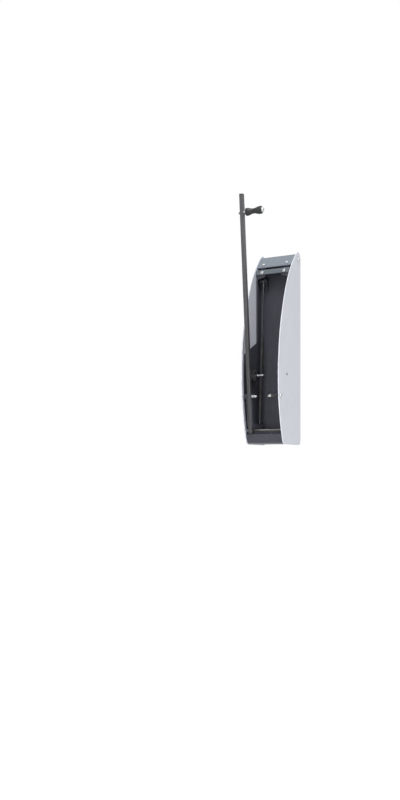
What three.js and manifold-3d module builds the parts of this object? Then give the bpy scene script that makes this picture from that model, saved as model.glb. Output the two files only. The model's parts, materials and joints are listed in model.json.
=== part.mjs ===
import * as THREE from 'three';
import { mergeVertices } from 'three/addons/utils/BufferGeometryUtils.js';
import Module from 'manifold-3d';

// Wall rack: a slim sheet steel housing and a lift arm that swings out of it, helped by a gas strut.
// Millimetres. X runs across, Y into the wall and Z up, from the middle of the wall face.
// Below, across is X, depth is measured out from the wall, and height up from the housing's foot.

// Fits shared by all pieces
const seatGap = 0.3;
const cutOverrun = 4;
const largeSteps = 32;
const smallSteps = 14;
const cornerSteps = 4;
const halfTurn = Math.PI;
const quarterTurn = Math.PI / 2;

// Housing
const housingHeight = 797;
const housingWidth = 160;

// Side panels: a front edge of three arcs that run into each other, and rounded corners
const panelThickness = 4;
const panelDepth = 252;
const panelEdgeRound = 0.8;
const panelFootDepthShare = 0.789;
const panelBellyHeightShare = 0.329;
const panelShoulderDepthShare = 0.641;
const panelShoulderHeightShare = 0.804;
const panelTipRadius = 27;
const panelFrontFootRadius = 25;
const panelRearFootRadius = 20;
const lowerArcSteps = 9;
const upperArcSteps = 13;
const topArcSteps = 7;
const tipArcSteps = 9;

// Channels inside the housing
const wallChannelSheet = 3;
const wallChannelDepth = 54.7;
const wallChannelDrop = 6;
const wallHoleDiameter = 9;
const wallHoleSpacing = 100;
const wallHoleInset = 40;
const channelSheet = 2.5;
const channelLip = 6;
const channelLipRise = 230;
const channelGusset = 40;
const channelGussetHeight = 24;
const cheekInset = 14;
const cheekRise = 170;

// Top cover, its two brackets and the crossbar below it
const coverSheet = 2;
const topCoverCrestDrop = 12.5;
const topCoverCrestDepth = 50;
const topCoverLipDrop = 63.5;
const topCoverLipInset = 3.4;
const topCoverReturn = 5;
const coverBoltInset = 25.5;
const coverBoltRise = 17;
const bracketSheet = 2;
const bracketWidth = 20;
const bracketLap = 18;
const bracketFoot = 22;
const crossbarSheet = 2.7;
const crossbarHeight = 19.5;
const crossbarTopDrop = 77;
const crossbarInset = 1.7;
const crossbarBoltInset = 28.5;
const crossbarBoltDrop = 12.5;

// Bottom cover, its clips and the channel floor above it
const bottomCoverInset = 4;
const bottomCoverHeight = 42;
const bottomCoverReturn = 14;
const bottomScrewHeight = 34.5;
const bottomScrewInset = 7;
const clipSheet = 2;
const clipWidth = 13;
const clipHeight = 15;
const clipSide = 16;
const floorRise = 13.5;
const floorSheet = 3;
const floorDepth = 150;
const floorLip = 3.5;

// M10, M8 and M5 fasteners
const largeShank = 10;
const largeHead = 17.5;
const largeHeadHeight = 5.5;
const largeSocket = 6;
const largeFlats = 16;
const largeNutHeight = 8.4;
const mediumShank = 8;
const mediumHead = 14;
const mediumHeadHeight = 4.4;
const mediumSocket = 5;
const mediumFlats = 13;
const mediumNutHeight = 6.5;
const smallShank = 5;
const smallHead = 9.5;
const smallHeadHeight = 2.8;
const smallSocket = 3;
const smallScrewLength = 8.5;
const socketDepthShare = 0.6;
const headRimShare = 0.25;
const tipChamfer = 0.8;
const nutChamfer = 1;
const domeSteps = 3;

// Side panel bolts at the top
const sideBoltDepth = 26.5;
const sideBoltDrop = 31;
const sideBoltThread = 2.5;

// Lift arm and its pivot
const laneInset = 25;
const pivotSetback = 20;
const pivotHeight = 190;
const armWidth = 15;
const armDepth = 20;
const armWall = 2;
const armCorner = 3;
const armLean = THREE.MathUtils.degToRad(5.8);
const armSwing = THREE.MathUtils.degToRad(85);
const armTailClearance = 5;
const capFlange = 2.5;
const capPlug = 12;
const sleeveDiameter = 14.5;
const bushDiameter = 24;
const pivotThread = 12;
const spacerLength = 29.8;
const spacerDiameter = 14;
const rightThread = 5.5;

// Crank plates on the arm and the pin that the strut pushes
const crankSheet = 3;
const crankHalfWidth = 10;
const crankEndRelief = 0.5;
const crankInnerRound = 16;
const crankOuterRound = 22;
const crankPinSetback = 104;
const crankPinRise = 15;
const pinDiameter = 8;
const pinHead = 14;
const pinHeadHeight = 3;

// Rubber buffer beside the wheel's lane
const stopRise = 90;
const stopSetback = 70.5;
const stopDiscDiameter = 48;
const stopDiscWidth = 21.2;
const stopDiscRound = 2;
const stopThread = 25.5;

// Wheel hook: a waisted roller on a long bolt
const hookReach = 715.2;
const armTopMargin = 68;
const rollerLength = 65.4;
const rollerInnerRadius = 15;
const rollerOuterRadius = 15;
const rollerWaistRadius = 10;
const rollerInnerRimShare = 0.08;
const rollerWaistStartShare = 0.44;
const rollerWaistEndShare = 0.5;
const rollerOuterRimShare = 0.86;
const rollerEdge = 1.5;
const rollerBlendSteps = 5;
const washerDiameter = 21;
const washerThickness = 2.5;
const hookThread = 8;

// Gas strut, its eyes and its anchor
const anchorDrop = 23;
const anchorDepthShare = 0.573;
const anchorSheet = 3;
const anchorWidth = 24;
const anchorBaseBelow = 40;
const anchorBaseAbove = 18;
const anchorEyeRadius = 10;
const strutRodDiameter = 6;
const strutTubeDiameter = 15;
const strutTubeWall = 1.3;
const strutTubeFloor = 4;
const strutEyeWidth = 10;
const strutEyeRadius = 9;
const strutNeckDiameter = 10;
const strutRodEyeLength = 26;
const strutTubeEyeLength = 28;
const strutEndGap = 6;
const pistonLength = 12;
const pistonBelowGland = 6;
const glandLength = 14;

// Heights and depths that follow from the sizes above
const halfWidth = housingWidth / 2;
const innerHalf = halfWidth - panelThickness;
const fitHalf = innerHalf - seatGap;
const bellyHeight = housingHeight * panelBellyHeightShare;
const shoulderHeight = housingHeight * panelShoulderHeightShare;
const pivotDepth = panelDepth - pivotSetback;
const laneAcross = laneInset - innerHalf;
const armLeft = laneAcross - armWidth / 2;
const armRight = laneAcross + armWidth / 2;

const wasm = await Module();
wasm.setup();

// A geometry as a solid that can be joined and cut.
function solid(geometry) {
  const bare = geometry.clone();
  bare.deleteAttribute('normal');
  bare.deleteAttribute('uv');
  const merged = mergeVertices(bare);
  const kept = [];
  const index = merged.index.array;
  for (let i = 0; i < index.length; i += 3) {
    const [a, b, c] = index.slice(i, i + 3);
    if (a !== b && b !== c && c !== a) kept.push(a, b, c);
  }
  const vertProperties = merged.attributes.position.array;
  return new wasm.Manifold(new wasm.Mesh({ numProp: 3, vertProperties, triVerts: new Uint32Array(kept) }));
}

// A joined and cut solid as a geometry again.
function meshed(body) {
  const mesh = body.getMesh();
  const geometry = new THREE.BufferGeometry();
  geometry.setAttribute('position', new THREE.BufferAttribute(mesh.vertProperties, mesh.numProp));
  geometry.setIndex(new THREE.BufferAttribute(mesh.triVerts, 1));
  geometry.computeVertexNormals();
  return geometry;
}

function join(...geometries) {
  return meshed(geometries.map(solid).reduce((body, next) => body.add(next)));
}

function cut(geometry, ...tools) {
  return meshed(tools.map(solid).reduce((body, tool) => body.subtract(tool), solid(geometry)));
}

function place(across, depth, height) {
  return new THREE.Vector3(across, -depth, height);
}

// A direction in the side view, as an angle that rises from straight out of the wall.
function outward(angle) {
  return new THREE.Vector3(0, -Math.cos(angle), Math.sin(angle));
}

const toTheRight = new THREE.Vector3(1, 0, 0);
const toTheLeft = new THREE.Vector3(-1, 0, 0);

// Points of an arc in the side view.
function arc([depth, height], radius, from, to, steps) {
  return Array.from({ length: steps + 1 }, (_, i) => {
    const angle = from + ((to - from) * i) / steps;
    return [depth + radius * Math.cos(angle), height + radius * Math.sin(angle)];
  });
}

// A side view outline, extruded from one place across to another.
function sideExtrusion(points, from, to, options = {}) {
  const shape = new THREE.Shape(points.map(([depth, height]) => new THREE.Vector2(-depth, height)));
  const geometry = new THREE.ExtrudeGeometry(shape, { depth: to - from, bevelEnabled: false, ...options });
  const acrossY = new THREE.Vector3(0, 1, 0);
  const acrossZ = new THREE.Vector3(0, 0, 1);
  geometry.applyMatrix4(new THREE.Matrix4().makeBasis(acrossY, acrossZ, toTheRight));
  return geometry.translate(from, 0, 0);
}

// A top view outline, extruded upwards.
function upExtrusion(points, from, to) {
  const shape = new THREE.Shape(points.map(([across, depth]) => new THREE.Vector2(across, -depth)));
  const geometry = new THREE.ExtrudeGeometry(shape, { depth: to - from, bevelEnabled: false });
  return geometry.translate(0, 0, from);
}

function block(left, right, back, front, low, high) {
  const geometry = new THREE.BoxGeometry(right - left, front - back, high - low);
  return geometry.translate((left + right) / 2, -(back + front) / 2, (low + high) / 2);
}

// A profile of [along, radius] points turned about X.
function turned(profile, steps) {
  const points = profile.map(([along, radius]) => new THREE.Vector2(radius, along));
  return new THREE.LatheGeometry(points, steps).rotateZ(-quarterTurn);
}

// A ring or sleeve about X, from 0 to its length, with its outer edges broken.
function ring(outer, bore, length, edge, steps) {
  return turned([
    [0, bore],
    [0, outer - edge],
    [edge, outer],
    [length - edge, outer],
    [length, outer - edge],
    [length, bore],
    [0, bore],
  ], steps);
}

// A drill along a direction, both ways from its place.
function drill(position, direction, diameter, reach) {
  const tool = new THREE.CylinderGeometry(diameter / 2, diameter / 2, reach * 2, smallSteps);
  const turn = new THREE.Quaternion().setFromUnitVectors(new THREE.Vector3(0, 1, 0), direction);
  return tool.applyQuaternion(turn).translate(position.x, position.y, position.z);
}

function hexagon(flats, length) {
  const radius = flats / Math.sqrt(3);
  const geometry = new THREE.CylinderGeometry(radius, radius, length, 6);
  return geometry.rotateZ(-quarterTurn).translate(length / 2, 0, 0);
}

// A button head bolt along +X, its head on the negative side of the seat at 0.
function buttonBolt(shank, head, headHeight, socket, length) {
  const rim = headHeight * headRimShare;
  const radius = head / 2;
  const dome = Array.from({ length: domeSteps }, (_, i) => {
    const angle = (quarterTurn * (i + 1)) / domeSteps;
    return [-rim - (headHeight - rim) * Math.cos(angle), radius * Math.sin(angle)];
  });
  const body = turned([
    [-headHeight, 0],
    ...dome,
    [0, radius],
    [0, shank / 2],
    [length - tipChamfer, shank / 2],
    [length, shank / 2 - tipChamfer],
    [length, 0],
  ], smallSteps);
  const depth = headHeight * socketDepthShare;
  return cut(body, hexagon(socket, depth + cutOverrun).translate(-headHeight - cutOverrun, 0, 0));
}

// A hexagon nut along +X from 0, its corners chamfered on both sides.
function nut(flats, height, shank) {
  const corner = flats / Math.sqrt(3);
  const barrel = turned([
    [0, 0],
    [0, corner - nutChamfer],
    [nutChamfer, corner],
    [height - nutChamfer, corner],
    [height, corner - nutChamfer],
    [height, 0],
  ], smallSteps);
  const bored = solid(hexagon(flats, height)).intersect(solid(barrel));
  return meshed(bored.subtract(solid(drill(place(0, 0, 0), toTheRight, shank + seatGap * 2, height * 2))));
}

// A folded strip: a side view path given a thickness on its left, or on its right if negative.
function foldedStrip(path, thickness) {
  const points = path.map(([depth, height]) => new THREE.Vector2(depth, height));
  const runs = points.slice(1).map((point, i) => point.clone().sub(points[i]).normalize());
  const offset = points.map((point, i) => {
    const before = runs[Math.max(i - 1, 0)];
    const after = runs[Math.min(i, runs.length - 1)];
    const mitre = new THREE.Vector2(-before.y - after.y, before.x + after.x);
    const left = new THREE.Vector2(-after.y, after.x);
    return point.clone().addScaledVector(mitre, thickness / mitre.dot(left));
  });
  return [...points, ...offset.reverse()].map(({ x, y }) => [x, y]);
}

// A closed outline whose corners are rounded, each by its own radius.
function roundedOutline(corners, radii) {
  const points = corners.map(([depth, height]) => new THREE.Vector2(depth, height));
  return points.flatMap((corner, i) => {
    const back = points.at(i - 1).clone().sub(corner).normalize();
    const ahead = points[(i + 1) % points.length].clone().sub(corner).normalize();
    const half = Math.acos(back.dot(ahead)) / 2;
    const inwards = back.clone().add(ahead).normalize();
    const centre = corner.clone().addScaledVector(inwards, radii[i] / Math.sin(half));
    const start = corner.clone().addScaledVector(back, radii[i] / Math.tan(half)).sub(centre).angle();
    const end = corner.clone().addScaledVector(ahead, radii[i] / Math.tan(half)).sub(centre).angle();
    const sweep = Math.atan2(Math.sin(end - start), Math.cos(end - start));
    return arc([centre.x, centre.y], radii[i], start, start + sweep, cornerSteps);
  });
}

function roundedRectangle(width, height, radius) {
  const right = width / 2 - radius;
  const top = height / 2 - radius;
  const corners = [[right, top], [-right, top], [-right, -top], [right, -top]];
  return corners.flatMap((corner, i) => {
    return arc(corner, radius, quarterTurn * i, quarterTurn * (i + 1), cornerSteps);
  });
}

// The panel's front edge: arcs for the belly, the shoulder and the run up to the round tip
const footDepth = panelDepth * panelFootDepthShare;
const shoulderDepth = panelDepth * panelShoulderDepthShare;
const lowerRadius = arcRadius(panelDepth - footDepth, bellyHeight);
const upperRadius = arcRadius(panelDepth - shoulderDepth, shoulderHeight - bellyHeight);
const lowerCentre = [panelDepth - lowerRadius, bellyHeight];
const upperCentre = [panelDepth - upperRadius, bellyHeight];
const tipCentre = [panelTipRadius, housingHeight - panelTipRadius];
const shoulderAngle = Math.asin((shoulderHeight - bellyHeight) / upperRadius);
const topRadius = topArcRadius();
const topCentre = [
  shoulderDepth - topRadius * Math.cos(shoulderAngle),
  shoulderHeight - topRadius * Math.sin(shoulderAngle),
];
const tipAngle = Math.atan2(tipCentre[1] - topCentre[1], tipCentre[0] - topCentre[0]);

// Radius of an arc that falls back by a given amount over a given rise.
function arcRadius(fall, rise) {
  return (fall ** 2 + rise ** 2) / (fall * 2);
}

// Radius of the arc that leaves the shoulder smoothly and ends on the tip's circle.
function topArcRadius() {
  const across = shoulderDepth - tipCentre[0];
  const up = shoulderHeight - tipCentre[1];
  const towards = -Math.cos(shoulderAngle) * across - Math.sin(shoulderAngle) * up;
  return (panelTipRadius ** 2 - across ** 2 - up ** 2) / ((towards + panelTipRadius) * 2);
}

// Depth of the panel's front edge at a height.
function panelEdgeAt(height) {
  const [centre, radius] = height < bellyHeight
    ? [lowerCentre, lowerRadius]
    : height < shoulderHeight ? [upperCentre, upperRadius] : [topCentre, topRadius];
  return centre[0] + Math.sqrt(radius ** 2 - (height - centre[1]) ** 2);
}

// The foot of the front edge, moved inwards by an inset, from the bottom line up to a height.
function footEdge(inset, toHeight, rearDepth) {
  const radius = lowerRadius - inset;
  const corner = panelFrontFootRadius - inset;
  const cornerHeight = panelFrontFootRadius;
  const reach = lowerRadius - panelFrontFootRadius;
  const cornerDepth = lowerCentre[0] + Math.sqrt(reach ** 2 - (cornerHeight - bellyHeight) ** 2);
  const turn = Math.asin((cornerHeight - bellyHeight) / reach);
  const end = Math.asin((toHeight - bellyHeight) / radius);
  return [
    [rearDepth, inset],
    ...arc([cornerDepth, cornerHeight], corner, -quarterTurn, turn, cornerSteps + 1),
    ...arc(lowerCentre, radius, turn, end, cornerSteps).slice(1),
  ];
}

function panelOutline() {
  const foot = footEdge(0, bellyHeight, panelRearFootRadius);
  const lower = arc(lowerCentre, lowerRadius, Math.asin((panelFrontFootRadius - bellyHeight)
    / (lowerRadius - panelFrontFootRadius)), 0, lowerArcSteps);
  return [
    ...arc([panelRearFootRadius, panelRearFootRadius], panelRearFootRadius, -halfTurn, -quarterTurn, cornerSteps + 1),
    ...foot.slice(1, cornerSteps + 3),
    ...lower.slice(1),
    ...arc(upperCentre, upperRadius, 0, shoulderAngle, upperArcSteps).slice(1),
    ...arc(topCentre, topRadius, shoulderAngle, tipAngle, topArcSteps).slice(1),
    ...arc(tipCentre, panelTipRadius, tipAngle, halfTurn, tipArcSteps).slice(1),
  ];
}

// Places worked out from the panel's edge
const crossbarTop = housingHeight - crossbarTopDrop;
const crossbarFront = panelEdgeAt(crossbarTop) - crossbarInset;
const channelFront = crossbarFront - crossbarSheet - seatGap;
const channelBack = wallChannelDepth + seatGap;
const webFront = channelBack + channelSheet;
const channelTop = crossbarTop - crossbarSheet - seatGap;
const floorHeight = bottomCoverHeight + floorRise;
const floorTop = floorHeight + floorSheet;
const wallChannelFoot = bottomCoverInset + coverSheet + seatGap;
const crestHeight = housingHeight - topCoverCrestDrop;
const wallChannelTop = crestHeight - coverSheet - seatGap - wallChannelDrop;
const pivotPlace = place(0, pivotDepth, pivotHeight);
const stopDepth = pivotDepth - stopSetback;
const stopHeight = pivotHeight + stopRise;
const sideBoltHeight = housingHeight - sideBoltDrop;
const boltedFace = fitHalf - channelSheet - seatGap;
const largeHole = largeShank + seatGap * 2;
const mediumHole = mediumShank + seatGap * 2;
const smallHole = smallShank + seatGap * 2;

const panelSteel = new THREE.MeshStandardMaterial({ color: '#c9ced6', roughness: 0.45, metalness: 0.2 });
const darkSteel = new THREE.MeshStandardMaterial({ color: '#35363c', roughness: 0.5, metalness: 0.2 });
const coverSteel = new THREE.MeshStandardMaterial({ color: '#6b727a', roughness: 0.4, metalness: 0.2 });
const armSteel = new THREE.MeshStandardMaterial({ color: '#56565a', roughness: 0.45, metalness: 0.3 });
const zinc = new THREE.MeshStandardMaterial({ color: '#c6c8ca', roughness: 0.3, metalness: 0.9 });
const chrome = new THREE.MeshStandardMaterial({ color: '#dfe1e4', roughness: 0.1, metalness: 1 });
const blackPlastic = new THREE.MeshStandardMaterial({ color: '#1d1d20', roughness: 0.5, metalness: 0 });
const rubber = new THREE.MeshStandardMaterial({ color: '#161618', roughness: 0.8, metalness: 0 });

const rack = new THREE.Group();
rack.position.z = -housingHeight / 2;
const liftArm = new THREE.Group();
liftArm.position.copy(pivotPlace);
liftArm.rotation.x = armLean;
rack.add(liftArm);

// Adds a piece to a group, at a place and with its X axis turned to a direction.
function add(group, name, geometry, material, position = new THREE.Vector3(), direction = toTheRight) {
  const mesh = new THREE.Mesh(geometry, material);
  mesh.name = name;
  mesh.position.copy(position);
  mesh.quaternion.setFromUnitVectors(toTheRight, direction);
  group.add(mesh);
}

const sides = [['left', -1], ['right', 1]];

function sidePanel(side) {
  const options = {
    depth: panelThickness - panelEdgeRound * 2,
    bevelEnabled: true,
    bevelThickness: panelEdgeRound,
    bevelSize: panelEdgeRound,
    bevelOffset: -panelEdgeRound,
    bevelSegments: 2,
  };
  const inner = side < 0 ? -halfWidth : innerHalf;
  const plate = sideExtrusion(panelOutline(), inner + panelEdgeRound, inner, options);
  const middle = side * (halfWidth - panelThickness / 2);
  return cut(
    plate,
    drill(place(middle, sideBoltDepth, sideBoltHeight), toTheRight, mediumHole, panelThickness),
    drill(place(middle, pivotDepth, pivotHeight), toTheRight, largeHole, panelThickness),
    drill(place(middle, stopDepth, stopHeight), toTheRight, mediumHole, panelThickness),
  );
}

// U section that stands on the wall, with four screw holes and the panels' bolt holes
function wallChannel() {
  const inside = fitHalf - wallChannelSheet;
  const section = [
    [-fitHalf, 0],
    [fitHalf, 0],
    [fitHalf, wallChannelDepth],
    [inside, wallChannelDepth],
    [inside, wallChannelSheet],
    [-inside, wallChannelSheet],
    [-inside, wallChannelDepth],
    [-fitHalf, wallChannelDepth],
  ];
  const holes = [-wallHoleSpacing / 2, wallHoleSpacing / 2].flatMap((across) => {
    return [wallChannelFoot + wallHoleInset, wallChannelTop - wallHoleInset].map((height) => {
      return drill(place(across, 0, height), outward(0), wallHoleDiameter, wallChannelSheet + cutOverrun);
    });
  });
  const sideHole = drill(place(0, sideBoltDepth, sideBoltHeight), toTheRight, mediumHole, halfWidth);
  return cut(upExtrusion(section, wallChannelFoot, wallChannelTop), ...holes, sideHole);
}

// Side wall of the front channel below its lips, in the side view: it follows the panels' front edge
function cheekOutline(low, high) {
  const [lower, upper] = [lowerRadius - cheekInset, upperRadius - cheekInset];
  const shoulder = pivotHeight + cheekRise;
  return [
    [webFront, low],
    ...arc(lowerCentre, lower, Math.asin((low - bellyHeight) / lower), 0, lowerArcSteps),
    ...arc(upperCentre, upper, 0, Math.asin((shoulder - bellyHeight) / upper), cornerSteps).slice(1),
    [channelFront, high],
    [webFront, high],
  ];
}

// U section that opens to the front: its side walls run forward to the pivots, its lips start above
// them and widen to gussets at the top, for the crossbar's bolts
function frontChannel() {
  const low = floorTop + seatGap;
  const lipLow = pivotHeight + channelLipRise;
  const inside = fitHalf - channelSheet;
  const lipBack = channelFront - channelSheet;
  const section = [
    [-fitHalf, channelBack],
    [fitHalf, channelBack],
    [fitHalf, channelFront],
    [inside, channelFront],
    [inside, webFront],
    [-inside, webFront],
    [-inside, channelFront],
    [-fitHalf, channelFront],
  ];
  const across = (side, width) => [side * fitHalf, side * (fitHalf - width)].sort((a, b) => a - b);
  const flange = (side, width, from) => {
    return block(...across(side, width), lipBack, channelFront, from, channelTop);
  };
  const lips = sides.map(([, side]) => flange(side, channelLip, lipLow));
  const gussets = sides.map(([, side]) => flange(side, channelGusset, channelTop - channelGussetHeight));
  const cheeks = sides.map(([, side]) => {
    return sideExtrusion(cheekOutline(low + floorLip, lipLow), ...across(side, channelSheet));
  });
  const body = join(upExtrusion(section, low, channelTop), ...cheeks, ...lips, ...gussets);
  const holes = sides.map(([, side]) => {
    return drill(crossbarBoltPlace(side), outward(0), mediumHole, crossbarSheet + channelSheet + cutOverrun);
  });
  const pivotHole = drill(pivotPlace, toTheRight, largeHole, halfWidth);
  const stopHole = drill(place(0, stopDepth, stopHeight), toTheRight, mediumHole, halfWidth);
  return cut(body, ...holes, pivotHole, stopHole);
}

function crossbarBoltPlace(side) {
  return place(side * (innerHalf - crossbarBoltInset), crossbarFront + seatGap, crossbarTop - crossbarBoltDrop);
}

// Angle section over the front channel's top
function upperCrossbar() {
  const angle = sideExtrusion(foldedStrip([
    [webFront, crossbarTop],
    [crossbarFront, crossbarTop],
    [crossbarFront, crossbarTop - crossbarHeight],
  ], -crossbarSheet), -fitHalf, fitHalf);
  const holes = sides.map(([, side]) => {
    return drill(crossbarBoltPlace(side), outward(0), mediumHole, crossbarSheet + cutOverrun);
  });
  return cut(angle, ...holes);
}

// Floor plate under the front channel, its front edge turned up
function channelFloor() {
  return sideExtrusion(foldedStrip([
    [channelBack, floorHeight],
    [floorDepth, floorHeight],
    [floorDepth, floorTop + floorLip],
  ], floorSheet), -fitHalf, fitHalf);
}

// Top cover: a flat crest, a slope that follows the panels and a lip turned in
const lipHeight = housingHeight - topCoverLipDrop;
const coverLip = new THREE.Vector2(panelEdgeAt(lipHeight) - topCoverLipInset, lipHeight);
const coverCrest = new THREE.Vector2(topCoverCrestDepth, crestHeight);
const slope = coverCrest.clone().sub(coverLip).normalize();
const slopeFace = new THREE.Vector2(slope.y, -slope.x);
const slopeAngle = Math.atan2(slopeFace.y, slopeFace.x);

// A point on the slope, a way up from the lip and sunk below the cover's face.
function slopePoint(rise, sunk) {
  const point = coverLip.clone().addScaledVector(slope, rise).addScaledVector(slopeFace, -sunk);
  return [point.x, point.y];
}

function coverBoltPlace(side, sunk) {
  return place(side * (innerHalf - coverBoltInset), ...slopePoint(coverBoltRise, sunk));
}

function topCover() {
  const cover = sideExtrusion(foldedStrip([
    [seatGap, crestHeight],
    [topCoverCrestDepth, crestHeight],
    slopePoint(0, 0),
    slopePoint(0, topCoverReturn),
  ], -coverSheet), -fitHalf, fitHalf);
  const holes = sides.map(([, side]) => {
    return drill(coverBoltPlace(side, 0), outward(slopeAngle), mediumHole, coverSheet + cutOverrun);
  });
  return cut(cover, ...holes);
}

// Bracket between the crossbar and the cover's slope
function coverBracket(side) {
  const middle = side * (innerHalf - coverBoltInset);
  const sunk = coverSheet + seatGap;
  const foot = crossbarTop + seatGap;
  const knee = slopePoint(coverBoltRise - bracketLap / 2, sunk);
  const strip = sideExtrusion(foldedStrip([
    [knee[0] - bracketFoot, foot],
    [knee[0], foot],
    knee,
    slopePoint(coverBoltRise + bracketLap / 2, sunk),
  ], bracketSheet), middle - bracketWidth / 2, middle + bracketWidth / 2);
  return cut(strip, drill(coverBoltPlace(side, sunk), outward(slopeAngle), mediumHole, bracketSheet + cutOverrun));
}

// Bottom cover: a tray front that follows the panels' foot
const screwRadius = lowerRadius - bottomCoverInset;
const screwAngle = Math.asin((bottomScrewHeight - bellyHeight) / screwRadius);

function screwPlace(side, sunk) {
  const depth = lowerCentre[0] + (screwRadius - sunk) * Math.cos(screwAngle);
  const height = lowerCentre[1] + (screwRadius - sunk) * Math.sin(screwAngle);
  return place(side * (innerHalf - bottomScrewInset), depth, height);
}

function bottomCover() {
  const outer = footEdge(bottomCoverInset, bottomCoverHeight, seatGap);
  const inner = footEdge(bottomCoverInset + coverSheet, bottomCoverHeight - coverSheet, seatGap);
  const [rimDepth] = outer.at(-1);
  const tray = sideExtrusion([
    ...outer,
    [rimDepth - bottomCoverReturn, bottomCoverHeight],
    [rimDepth - bottomCoverReturn, bottomCoverHeight - coverSheet],
    ...inner.reverse(),
  ], -fitHalf, fitHalf);
  const holes = sides.map(([, side]) => {
    return drill(screwPlace(side, 0), outward(screwAngle), smallHole, coverSheet + cutOverrun);
  });
  return cut(tray, ...holes);
}

// Clip in the corner between a panel and the bottom cover's front
function bottomClip(side) {
  const sunk = bottomCoverInset + coverSheet + seatGap;
  const low = bottomScrewHeight - clipHeight / 2;
  const high = bottomScrewHeight + clipHeight / 2 - coverSheet - seatGap;
  const band = (inset) => {
    const radius = lowerRadius - inset;
    const [from, to] = [low, high].map((height) => Math.asin((height - bellyHeight) / radius));
    return arc(lowerCentre, radius, from, to, cornerSteps);
  };
  const front = [...band(sunk), ...band(sunk + clipSheet).reverse()];
  const cheek = [...band(sunk), ...band(sunk + clipSide).reverse()];
  const [near, far, wall] = [clipWidth, 0, clipSheet].map((inset) => side * (fitHalf - inset));
  const plate = sideExtrusion(front, Math.min(near, far), Math.max(near, far));
  const tab = sideExtrusion(cheek, Math.min(wall, far), Math.max(wall, far));
  const hole = drill(screwPlace(side, coverSheet), outward(screwAngle), smallHole, clipSheet + cutOverrun);
  return cut(join(plate, tab), hole);
}

add(rack, 'wall_channel', wallChannel(), darkSteel);
add(rack, 'front_channel', frontChannel(), darkSteel);
add(rack, 'channel_floor', channelFloor(), darkSteel);
add(rack, 'upper_crossbar', upperCrossbar(), coverSteel);
add(rack, 'top_cover', topCover(), coverSteel);
add(rack, 'bottom_cover', bottomCover(), darkSteel);

// What the housing has on both sides, and the fasteners that hold it
for (const [word, side] of sides) {
  const inwards = side < 0 ? toTheRight : toTheLeft;
  const outerFace = side * (halfWidth + seatGap);
  const flange = fitHalf - wallChannelSheet - seatGap;
  const sideLength = halfWidth - flange + mediumNutHeight + sideBoltThread;
  const coverGrip = coverSheet + bracketSheet + seatGap * 2;
  const crossbarGrip = crossbarSheet + channelSheet + seatGap * 3;
  const crossbarBolt = buttonBolt(
    mediumShank, mediumHead, mediumHeadHeight, mediumSocket,
    crossbarGrip + mediumNutHeight + sideBoltThread,
  );
  const coverBolt = buttonBolt(
    mediumShank, mediumHead, mediumHeadHeight, mediumSocket,
    coverGrip + mediumNutHeight + sideBoltThread,
  );
  const screw = buttonBolt(smallShank, smallHead, smallHeadHeight, smallSocket, smallScrewLength);
  const sideBolt = buttonBolt(mediumShank, mediumHead, mediumHeadHeight, mediumSocket, sideLength);
  const mediumNut = nut(mediumFlats, mediumNutHeight, mediumShank);
  const sideNutPlace = place(side * flange, sideBoltDepth, sideBoltHeight);
  const crossbarNutPlace = crossbarBoltPlace(side).add(place(0, -crossbarGrip, 0));
  const coverInwards = outward(slopeAngle).negate();

  add(rack, `${word}_side_panel`, sidePanel(side), panelSteel);
  add(rack, `${word}_panel_bolt`, sideBolt, zinc, place(outerFace, sideBoltDepth, sideBoltHeight), inwards);
  add(rack, `${word}_panel_nut`, mediumNut, zinc, sideNutPlace, inwards);
  add(rack, `${word}_crossbar_bolt`, crossbarBolt, zinc, crossbarBoltPlace(side), outward(0).negate());
  add(rack, `${word}_crossbar_nut`, mediumNut, zinc, crossbarNutPlace, outward(0).negate());
  add(rack, `${word}_cover_bracket`, coverBracket(side), darkSteel);
  add(rack, `${word}_cover_bolt`, coverBolt, zinc, coverBoltPlace(side, -seatGap), coverInwards);
  add(rack, `${word}_cover_nut`, mediumNut, zinc, coverBoltPlace(side, coverGrip), coverInwards);
  add(rack, `${word}_bottom_clip`, bottomClip(side), darkSteel);
  add(rack, `${word}_bottom_screw`, screw, zinc, screwPlace(side, -seatGap), outward(screwAngle).negate());
}

// Where the crank's pin is when the arm is up and when it is down
const pinHeight = floorTop + crankPinRise;
const pinOffset = [crankPinSetback, pinHeight - pivotHeight];
const loweredPin = [
  pinOffset[0] * Math.cos(armSwing) - pinOffset[1] * Math.sin(armSwing),
  pinOffset[0] * Math.sin(armSwing) + pinOffset[1] * Math.cos(armSwing),
];
const anchorHeight = crossbarTop - crossbarHeight - anchorDrop;
const anchorDepth = webFront + (channelFront - webFront) * anchorDepthShare;
const anchorOffset = [pivotDepth - anchorDepth, anchorHeight - pivotHeight];
const strutRise = [anchorOffset[0] - pinOffset[0], anchorOffset[1] - pinOffset[1]];
const strutLength = Math.hypot(...strutRise);
const strutLean = Math.atan2(strutRise[0], strutRise[1]);
const shortLength = Math.hypot(anchorOffset[0] - loweredPin[0], anchorOffset[1] - loweredPin[1]);

// Left pivot: bolt, bush and nut either side of the arm and its crank plates
const crankLeft = armLeft - seatGap - crankSheet;
const crankRight = armRight + seatGap + crankSheet;
const pivotNutLeft = crankRight + seatGap;
const outerLeft = -halfWidth - seatGap;
const leftBoltLength = pivotNutLeft + largeNutHeight + pivotThread - outerLeft;
const leftBolt = buttonBolt(largeShank, largeHead, largeHeadHeight, largeSocket, leftBoltLength);
const bushWidth = crankLeft - seatGap + boltedFace;
const bush = ring(bushDiameter / 2, largeHole / 2, bushWidth, tipChamfer, largeSteps);
const largeNut = nut(largeFlats, largeNutHeight, largeShank);

add(rack, 'left_pivot_bolt', leftBolt, zinc, place(outerLeft, pivotDepth, pivotHeight));
add(rack, 'left_pivot_bush', bush, blackPlastic, place(-boltedFace, pivotDepth, pivotHeight));
add(rack, 'left_pivot_nut', largeNut, zinc, place(pivotNutLeft, pivotDepth, pivotHeight));

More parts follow.
